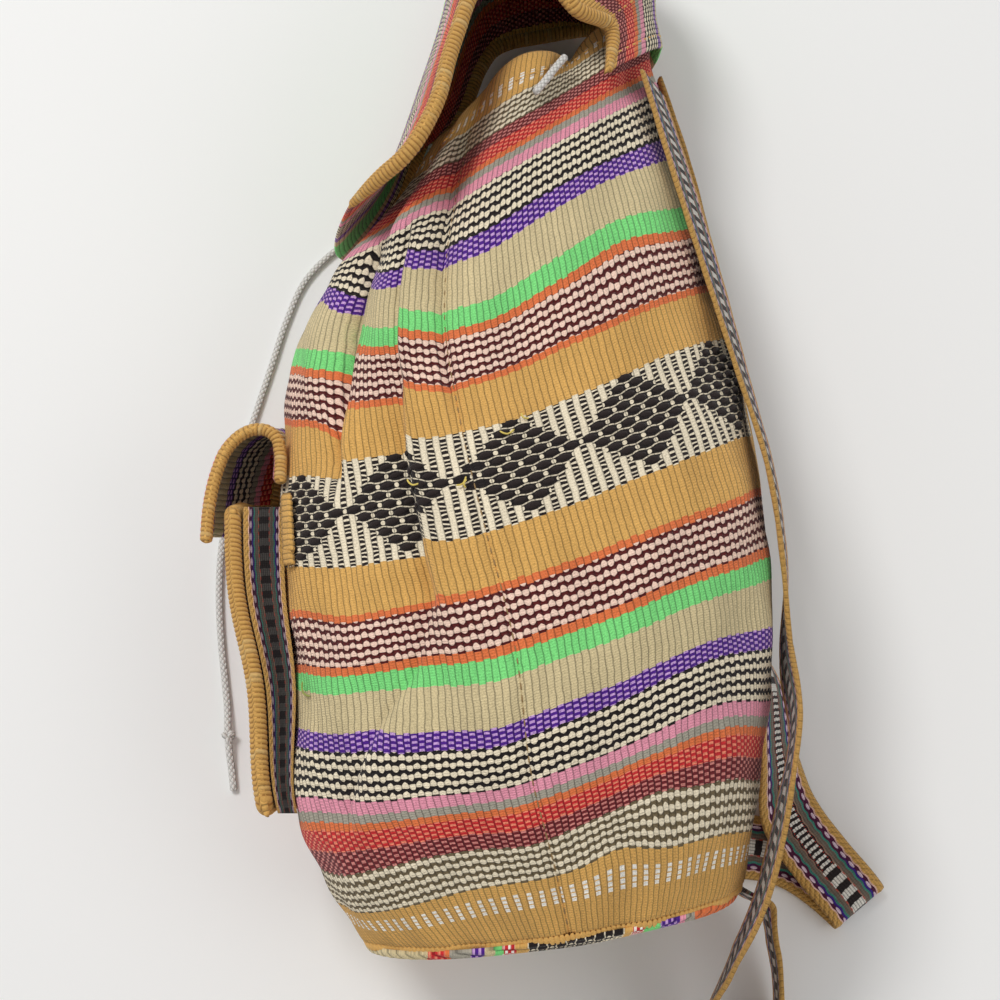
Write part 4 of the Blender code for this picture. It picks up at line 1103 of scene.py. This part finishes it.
def overcast_fabric():
    fabric, tree, shader = new_fabric("mustard_overcast_edge")
    around, along, _ = weave_uv(tree)
    turns = along / (OVERCAST_PITCH * 1000) + around
    wrap = abs(turns.sine())
    # Painted shade: the wraps darken towards the grooves between them
    colour = blended(wrap.ramp(0.05, 0.65), OVERCAST_GROOVE_SHADE, MUSTARD)
    colour = blended(turns.floor().drawn().ramp(0.75, 0.95) * 0.35, colour, OVERCAST_PALE)
    finish_fabric(tree, shader, colour, 0.72 + fuzz(tree, 850.0) * 0.5, wrap, 0.0005)
    return fabric


overcast_edge = overcast_fabric()


def edge_roll(name, line, radius, flat_ends=0.0):
    """A rolled and overcast edge along a line."""
    path = smooth_line(line, step=OVERCAST_PITCH / 5)
    roll = tube(name, path, radius, 18, overcast_relief, flat_ends)
    roll.data.materials.append(overcast_edge)
    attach(roll, "root")
    return roll


def inset_line(grid, from_end, inset):
    """A line down the grid, at a distance in from its first or last column."""
    line = []
    for row in (grid if from_end == 0 else grid[:, ::-1]):
        run = arc_length(row)
        line.append([np.interp(inset, run, row[:, k]) for k in range(3)])
    return np.array(line)


flap_guides = smooth_line([
    [*upper, *middle, *lower, *turn] for (upper, middle, lower), turn in zip(FLAP_GUIDES, FLAP_TURNS)],
    count=FLAP_LENGTH_ROWS)
flap_shares = np.linspace(0.0, 1.0, 25)
flap_turned = np.linspace(0.0, 1.0, FLAP_TURN_STEPS + 1)[1:]
flap_ways = np.concatenate((FLAP_NEAR + (FLAP_FAR - FLAP_NEAR) * flap_shares, FLAP_FAR - 0.010 * flap_turned))
flap_rows = [on_wall(flap_ways, place, FLAP_STANDOFF, folded=False)
             for place in (FLAP_ROOT, FLAP_ROOT + FLAP_SEWN)]
for guide in flap_guides:
    a, b, c, turn = guide[0:3], guide[3:6], guide[6:9], guide[9:12]
    s = flap_shares[:, None]
    row = a * (1 - s) * (1 - 2 * s) + 4 * b * s * (1 - s) + c * s * (2 * s - 1)
    flap_rows.append(np.concatenate((row, c + turn * flap_turned[:, None])))
flap_grid = refined(flap_rows, FLAP_FINE_ROWS, FLAP_FINE_COLUMNS)
flap, flap_normals = strip_cloth("mouth_flap_cloth", flap_grid, 1.0, FLAP_WIDE, flap_cloth)
flap_roll_near = edge_roll(
    "mouth_flap_near_roll", inset_line(flap_grid, 0, FLAP_ROLL_RADIUS), FLAP_ROLL_RADIUS, FLAP_ROLL_FLAT)
flap_roll_far = edge_roll(
    "mouth_flap_far_roll", inset_line(flap_grid, 1, FLAP_ROLL_RADIUS), FLAP_ROLL_RADIUS, FLAP_ROLL_FLAT)
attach(flap, "root")
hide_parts("main_flap")


# The flap's foot is sewn to the neck with two rows of stitches
FLAP_ROOT_STITCH = (0.0042, 0.0011, 0.0009)
FLAP_STITCH_PITCH = 0.0070
FLAP_STITCH_FREE = 0.010
for name, row in (("mouth_flap_foot_stitches", 6), ("mouth_flap_upper_stitches", 30)):
    line = flap_grid[row]
    at = np.arange(FLAP_STITCH_FREE, arc_length(line)[-1] - FLAP_STITCH_FREE, FLAP_STITCH_PITCH)
    near = np.clip(np.searchsorted(arc_length(line), at), 1, len(line) - 2)
    out = flap_normals[row][near]
    studs(name, line[near] + out * (WALL / 2 + RIB_RISE * 0.5), line[near + 1] - line[near - 1],
          out, FLAP_ROOT_STITCH, mustard_yarn, seed=11)


def grid_area(grid):
    a, b = grid[1:, :-1] - grid[:-1, :-1], grid[:-1, 1:] - grid[:-1, :-1]
    c, d = grid[:-1, 1:] - grid[1:, 1:], grid[1:, :-1] - grid[1:, 1:]
    halves = np.linalg.norm(np.cross(a, b), axis=-1) + np.linalg.norm(np.cross(c, d), axis=-1)
    return float(halves.sum() / 2)


flap_area = grid_area(flap_grid)


# Front pocket: a panel of the cloth with an overcast roll all round, held off the bag by a woven
# side band down one side, across the bottom and up the other. Its flap is sewn above its mouth.
POCKET_NEAR = 0.165
POCKET_FAR = 0.320
POCKET_SKEW = 0.032
POCKET_BOTTOM = 0.088
POCKET_TOP = 0.250
POCKET_DEPTH_TOP = 0.0215
POCKET_DEPTH_BOTTOM = 0.0095
POCKET_FLATTEN = 0.006
POCKET_ROLL = 0.0080
POCKET_STANDOFF = 0.0014
GUSSET_SAG = 0.004
GUSSET_MARGIN = 0.002
GUSSET_THICKNESS = 0.0022
BAND_GAP = 0.0009
POCKET_WIDE = 96.0
POCKET_STRIPES = (
    (0.0, "plain", MUSTARD, MUSTARD), (8.0, "dash", MAROON, ROSE), (14.0, "dash", RED, SALMON),
    (21.0, "plain", PINK, PINK), (25.0, "speckle", CREAM, BLACK), (39.5, "dash", PURPLE, LILAC),
    (45.0, "plain", GREEN, GREEN),
)
pocket_cloth = striped_cloth("striped_pocket_cloth", POCKET_STRIPES, POCKET_WIDE / 2)


def pocket_depth(place):
    share = (place - POCKET_BOTTOM) / (POCKET_TOP - POCKET_BOTTOM)
    return POCKET_DEPTH_BOTTOM + (POCKET_DEPTH_TOP - POCKET_DEPTH_BOTTOM) * float(eased(0.15 + 0.85 * share))


def pocket_edges(place):
    skew = POCKET_SKEW * (POCKET_TOP - place) / (POCKET_TOP - POCKET_BOTTOM)
    return POCKET_NEAR + skew, POCKET_FAR + skew


pocket_rows = []
for place in np.linspace(POCKET_BOTTOM, POCKET_TOP, 28):
    near, far = pocket_edges(place)
    share = np.linspace(0.0, 1.0, 19)
    row = on_wall(near + (far - near) * share, place, POCKET_STANDOFF, folded=False)
    row[:, 0] -= pocket_depth(place) + POCKET_ROLL / 2 - POCKET_FLATTEN * np.sin(math.pi * share)
    pocket_rows.append(row)
pocket_grid = refined(pocket_rows, 220, 100)
pocket_panel, _ = strip_cloth("pocket_panel_cloth", pocket_grid, -1.0, POCKET_WIDE, pocket_cloth)
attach(pocket_panel, "root")
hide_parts("pocket_front")


def framed_line(grid, inset):
    """The line round a grid at a distance in from its edge, with rounded corners."""
    low, high = inset_line(grid, 0, inset), inset_line(grid, 1, inset)
    turned = grid.transpose(1, 0, 2)
    foot, head = inset_line(turned, 0, inset), inset_line(turned, 1, inset)
    cut = 9
    rows, columns = len(low), len(foot)
    line = np.concatenate((foot[columns // 2:-cut], high[cut:-cut], head[::-1][cut:-cut], low[::-1][cut:-cut],
                           foot[cut:columns // 2 + 1]))
    return line[::6]


pocket_roll = edge_roll("pocket_edge_roll", framed_line(pocket_grid, POCKET_ROLL / 2), POCKET_ROLL / 2)


# Woven band, for the pocket's side and the shoulder straps: mustard selvedges, a chain of purple
# and white beside each, and black and white blocks along the middle
BAND_WIDTH = 0.033
BAND_THICKNESS = 0.0024
CHAIN_PITCH = 6.4
BLOCK_PITCH = 7.6
LADDER_PITCH = 3.2
STRAND_WIDTH = 1.65
BLUE_PITCH = 90.0
# Colours from the band's edge to its middle, each with the share of the width where it starts
BAND_TONES = (
    (0.0, (*MUSTARD, 1.0)), (0.125, (0.80, 0.50, 0.42, 1.0)), (0.148, (0.085, 0.010, 0.045, 1.0)),
    (0.240, (0.060, 0.240, 0.190, 1.0)), (0.275, (0.170, 0.135, 0.105, 1.0)),
    (0.350, (0.300, 0.180, 0.130, 1.0)), (0.372, (0.022, 0.015, 0.015, 1.0)))
BAND_BLUE, BAND_PEARL, BAND_RED = (0.050, 0.018, 0.230), (0.80, 0.60, 0.72), (0.50, 0.06, 0.04)


def band_fabric(name, kept_under_painted_shade, ladder):
    """Kept under painted shade is how much of the weave's brightness stays where painted shade darkens the
    band's middle and its light blocks; the pocket's side band, which lies in shade, keeps little of it.
    Ladder is where along the band, in millimetres, the blocks close up to thin rungs."""
    fabric, tree, shader = new_fabric(name)
    across, along, _ = weave_uv(tree)
    fold = 0.5 - abs(across - 0.5)
    waved = fold + (along * (2 / CHAIN_PITCH)).cosine() * 0.010
    tone = stripe_ramp(waved, BAND_TONES)

    # A chain of pearly stitches, and threads that turn blue and back along the band
    beat = (along / CHAIN_PITCH).part() - 0.5
    pearl = (((fold - 0.188) / 0.024) ** 2.0 + (beat / 0.34) ** 2.0).ramp(0.75, 1.15, 1.0, 0.0)
    blue = (waved > 0.205) * (waved < 0.240) * (along * (2 / BLUE_PITCH)).sine().ramp(-0.2, 0.9)
    colour = blended(blue, tone.outputs["Color"], BAND_BLUE)
    colour = blended(pearl, colour, BAND_PEARL)

    # Blocks of thin cords along the band, light and dark by turns, and the rungs that they close up to
    strands = across * (BAND_WIDTH * 1000 / STRAND_WIDTH)
    in_ladder = abs(along - sum(ladder) / 2) < (ladder[1] - ladder[0]) / 2
    pitch = BLOCK_PITCH + in_ladder * (LADDER_PITCH - BLOCK_PITCH)
    step = (along + strands.floor().drawn() * 0.9) / pitch
    light = step.from_centre().ramp(0.235, 0.265, 1.0, 0.0)
    narrow = 0.372 + in_ladder * 0.030
    strand = abs(strands.sine())
    # The light blocks are dimmed by the same painted shade
    shown = light * (fold > narrow) * kept_under_painted_shade
    colour = blended(shown * strand.ramp(0.10, 0.55, 0.45, 1.0), colour, WHITE)
    red_thread = (abs(fold - narrow) < 0.012) * ((step * 2.0).part() > 0.55)
    colour = blended(red_thread * 0.7, colour, BAND_RED)

    # Twisted yarn in the selvedges, picks of yarn across the band, and fuzz, with painted shade darkening the
    # grooves between the twists, the picks and the cords
    twist = abs((along / 3.4 + fold * 9.0).sine())
    in_selvedge = waved < 0.125
    weft = abs((along / 1.1).sine())
    brightness = (0.68 + fuzz(tree, 800.0) * 0.6) * (1.0 - in_selvedge * twist.ramp(0.0, 0.45, 0.34, 0.0))
    brightness = brightness * (0.84 + weft * 0.18) * (0.80 + strand * 0.22)
    # Painted shade: the band's middle, inside the selvedges, darkened by as much as the band does not keep
    brightness = brightness * (1.0 - (fold > 0.148) * ((1.0 - kept_under_painted_shade) * 0.55))
    relief = pearl * 0.8 + strand * 0.4 + in_selvedge * twist * 0.8 + weft * 0.15
    finish_fabric(tree, shader, colour, brightness, relief, 0.0007)
    return fabric


near_band = band_fabric("woven_near_strap_band", 0.95, (-20.0, 0.0))
far_band = band_fabric("woven_far_strap_band", 0.95, (355.0, 452.0))
# The pocket's side band keeps only a tenth of its brightness, as painted shade; the straps keep nearly all of
# theirs
pocket_band = band_fabric("woven_pocket_band", 0.10, (-20.0, 0.0))


def gusset_line(margin, girth):
    """Way round, place, and how far the band hangs, down one edge, across the bottom and up."""
    inset, low = margin / girth, POCKET_BOTTOM + margin
    rises = low + (POCKET_TOP - low) * np.linspace(1.0, 0.0, 81)
    down = [(pocket_edges(p)[0] + inset, p, math.sin(math.pi * (p - low) / (POCKET_TOP - low)))
            for p in rises[:-1]]
    near, far = pocket_edges(low)
    over = [(s, low, 0.0) for s in np.linspace(near + inset, far - inset, 33)]
    up = [(pocket_edges(p)[1] - inset, p, 0.0) for p in rises[-2::-1]]
    return down + over + up


def gusset_grid(margin, columns):
    girth = Ring((POCKET_TOP + POCKET_BOTTOM) / 2).girth
    rows = []
    k = np.linspace(0.0, 1.0, columns + 1)
    for share, place, hang in gusset_line(margin, girth):
        start = on_wall(share, place, POCKET_STANDOFF, folded=False)[0]
        near, far = pocket_edges(place)
        across = (share - near) / (far - near)
        reach = pocket_depth(place) - BAND_GAP - POCKET_FLATTEN * math.sin(math.pi * across)
        ripple = 0.0007 * np.sin(place * 140) * np.sin(math.pi * k)
        sag = -GUSSET_SAG * hang * np.sin(math.pi * k)
        rows.append(start + np.stack((-reach * k, 0 * k, sag + ripple), axis=1))
    return np.array(rows)


gusset_outer = gusset_grid(GUSSET_MARGIN, 20)
gusset_inner = gusset_grid(GUSSET_MARGIN + GUSSET_THICKNESS, 20)
gusset_run = arc_length(gusset_outer[:, 10]) * 1000
gusset_uv = np.stack(np.broadcast_arrays(np.linspace(0, 1, 21)[None, :], gusset_run[:, None]), axis=-1)
gusset = closed_shell("pocket_side_band", gusset_outer, gusset_inner, gusset_uv, gusset_uv, pocket_band)
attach(gusset, "root")
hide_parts("pocket_gusset")

# A tab of mustard cloth, folded double, lies on the wall beside the band's foot
TAB_WAYS = (0.1530, 0.1655)
TAB_PLACES = (0.2230, 0.2560)
TAB_THICKNESS = 0.0018
TAB_WIDE = 8.0
TAB_OUT = RIB_RISE + 0.0026
tab_cloth = striped_cloth("mustard_tab_cloth", ((0.0, "plain", MUSTARD, MUSTARD),), 100.0)
tab_rows = [on_wall(np.linspace(*TAB_WAYS, 9), place, TAB_OUT) for place in np.linspace(*TAB_PLACES, 12)]
top_rows = [row + np.array((0.0006, 0.0, TAB_THICKNESS * 0.9)) for row in tab_rows[2:]]
tab, _ = strip_cloth("pocket_folded_tab", refined(tab_rows, 64, 24), 1.0, TAB_WIDE, tab_cloth, TAB_THICKNESS)
tab_top, _ = strip_cloth(
    "pocket_folded_tab_upper", refined(top_rows, 64, 24), 1.0, TAB_WIDE, tab_cloth, TAB_THICKNESS)
for piece in (tab, tab_top):
    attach(piece, "root")

# Pocket's flap, with an arch where it bends over the pocket's mouth
POCKET_FLAP_SEWN = (POCKET_TOP + 0.012, POCKET_TOP + 0.028)
POCKET_FLAP_STANDOFF = 0.0037
POCKET_FLAP_ROLL = 0.0060
POCKET_FLAP_RUN = (
    (0.0, 0.0), (0.002, 0.007), (0.009, 0.012), (0.018, 0.010), (0.026, 0.002), (0.031, -0.012),
    (0.0335, -0.028), (0.034, -0.048),
)
POCKET_FLAP_STRIPES = (
    (0.0, "plain", MUSTARD, MUSTARD), (6.5, "dash", RED, SALMON), (13.0, "plain", PINK, PINK),
    (17.0, "plain", GREY, GREY), (21.0, "speckle", CREAM, BLACK), (35.0, "dash", PURPLE, LILAC),
    (41.0, "plain", BEIGE, BEIGE),
)
pocket_flap_cloth = striped_cloth("striped_pocket_flap_cloth", POCKET_FLAP_STRIPES, POCKET_WIDE / 2)
flap_steps = smooth_line([(-dx, dy, 0.0) for dx, dy in POCKET_FLAP_RUN], count=14)
near, far = pocket_edges(POCKET_FLAP_SEWN[0])
pocket_flap_rows = [
    on_wall(near + (far - near) * np.linspace(0, 1, 13), place, POCKET_FLAP_STANDOFF, folded=False) + step
    for place, step in [(POCKET_FLAP_SEWN[0], flap_steps[0]),
                        *((POCKET_FLAP_SEWN[1], step) for step in flap_steps)]]
pocket_flap_grid = refined(pocket_flap_rows, 160, 88)
pocket_flap, _ = strip_cloth("pocket_flap_cloth", pocket_flap_grid, 1.0, POCKET_WIDE, pocket_flap_cloth)
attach(pocket_flap, "root")
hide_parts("pocket_flap")
pocket_flap_rolls = [
    edge_roll(name, inset_line(pocket_flap_grid, end, POCKET_FLAP_ROLL / 2), POCKET_FLAP_ROLL / 2)
    for end, name in enumerate(("pocket_flap_near_roll", "pocket_flap_far_roll"))]
pocket_flap_area = grid_area(pocket_flap_grid)


# Shoulder straps: two flat woven bands, sewn to the top of the back and to the base's back
# corners. One stands on its edge beside the bag, and the other has fallen flat and is folded.
STRAP_TOP = 0.392
STRAP_NEAR_PLACE = -0.235
STRAP_FAR_PLACE = -0.330
STRAP_NEAR_STANDOFF = 0.0012
STRAP_FAR_STANDOFF = 0.0001
STRAP_SLACK = 0.004
STRAP_LOOSE = 0.150
STRAP_NEAR_RUN = (
    ((0.1385, -0.080, 0.090), (0.0, 0.1, 1.0)),
    ((0.1385, -0.118, 0.104), (0.0, 0.2, 1.0)),
    ((0.1325, -0.148, 0.104), (0.05, 0.1, 1.0)),
    ((0.1275, -0.172, 0.095), (0.05, -0.1, 1.0)),
    ((0.1210, -0.196, 0.080), (0.0, -0.25, 1.0)),
    ((0.1100, -0.221, 0.058), (-0.1, -0.3, 1.0)),
    ((0.1005, -0.246, 0.034), (-0.15, -0.1, 1.0)),
    ((0.1030, -0.270, 0.021), (0.0, 0.0, 1.0)),
    ((0.1180, -0.280, 0.018), (0.0, 0.0, 1.0)),
    ((0.1325, -0.268, 0.018), (0.0, 0.0, 1.0)),
    ((0.1365, -0.240, 0.021), (-0.05, 0.0, 1.0)),
    ((0.1345, -0.212, 0.028), (-0.05, 0.1, 1.0)),
    ((0.1290, -0.192, 0.035), (-0.1, 0.1, 1.0)),
    ((0.1190, -0.1850, 0.041), (-0.2, 0.0, 1.0)),
)
STRAP_FAR_RUN = (
    ((0.1400, -0.080, 0.033), (-0.50, 0.0, 1.0)),
    ((0.1430, -0.118, 0.024), (-0.75, -0.3, 0.75)),
    ((0.1490, -0.144, 0.0130), (-0.80, -0.6, 0.12)),
    ((0.1640, -0.1665, 0.0105), (-0.785, -0.62, 0.0)),
    ((0.1800, -0.1868, 0.0098), (-0.785, -0.62, 0.0)),
    ((0.1816, -0.1888, 0.0087), (-0.785, -0.62, 0.0)),
    ((0.1823, -0.1897, 0.0061), (-0.785, -0.62, 0.0)),
    ((0.1816, -0.1888, 0.0035), (-0.785, -0.62, 0.0)),
    ((0.1800, -0.1868, 0.0024), (-0.785, -0.62, 0.0)),
    ((0.1690, -0.1765, 0.0024), (-0.70, -0.71, 0.0)),
    ((0.1500, -0.1640, 0.0024), (-0.50, -0.86, 0.0)),
    ((0.1300, -0.1590, 0.0026), (-0.15, -1.0, 0.0)),
    ((0.1130, -0.1590, 0.0050), (0.0, -1.0, 0.0)),
)
STRAP_STATION = 0.0016
STRAP_POINTS = 28
SELVEDGE_SHARE = 0.13
STRAP_CLEARANCE = 0.0014
PLY_PITCH = 0.0017
PLY_RISE = 0.00022


def strap_line(place_round, standoff, free_run):
    """Centre and width direction of a strap from its top to its lower end."""
    rows = []
    for k in range(6):
        place = STRAP_TOP + (STRAP_LOOSE - STRAP_TOP) * k / 5
        away = BAND_THICKNESS / 2 + STRAP_CLEARANCE + standoff + STRAP_SLACK * (k / 5)
        centre = on_wall(place_round, place, away, folded=False)[0]
        out = on_wall(place_round, place, away + 0.001, folded=False)[0] - centre
        size = math.hypot(out[0], out[2])
        rows.append((*centre, -out[2] / size, 0.0, out[0] / size))
    for centre, width in free_run:
        rows.append((*centre, *unit(np.array(width, dtype=float))))
    rows = np.array(rows)
    stops = arc_length(rows[:, :3])
    return hermite(stops, rows, np.linspace(0.0, stops[-1], int(stops[-1] / STRAP_STATION)))


def strap(name, node, place_round, standoff, free_run, band):
    run = strap_line(place_round, standoff, free_run)
    centre, side = run[:, :3], run[:, 3:]
    along = unit(np.gradient(centre, axis=0))
    side = squared(side, along)
    up = np.cross(side, along)
    length = arc_length(centre)
    share = np.linspace(0.0, 1.0, STRAP_POINTS // 2)
    from_edge = np.minimum(share, 1 - share)
    thick = BAND_THICKNESS / 2 * np.clip(from_edge / 0.03, 0.35, 1) ** 0.5
    thick = thick * np.where(from_edge < SELVEDGE_SHARE, 1.0, 0.80)
    ply = np.abs(np.sin(length / PLY_PITCH * math.pi))[:, None] * PLY_RISE * (
        from_edge < SELVEDGE_SHARE)[None, :]
    loop_share = np.concatenate((share, share[::-1]))
    height = np.concatenate((thick + ply, -(thick + ply)[:, ::-1]), axis=1)
    points = (centre[:, None, :] + side[:, None, :] * ((loop_share - 0.5) * BAND_WIDTH)[None, :, None]
              + up[:, None, :] * height[..., None])
    uv = np.stack(np.broadcast_arrays(loop_share[None, :], length[:, None] * 1000), axis=-1).reshape(-1, 2)
    piece = mesh_piece(name, points, ring_faces(len(centre), STRAP_POINTS), uv)
    piece.data.materials.append(band)
    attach(piece, "root")
    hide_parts(node)


strap("near_strap_band", "shoulder_strap_near", STRAP_NEAR_PLACE, STRAP_NEAR_STANDOFF, STRAP_NEAR_RUN,
      near_band)
strap("far_strap_band", "shoulder_strap_far", STRAP_FAR_PLACE, STRAP_FAR_STANDOFF, STRAP_FAR_RUN, far_band)
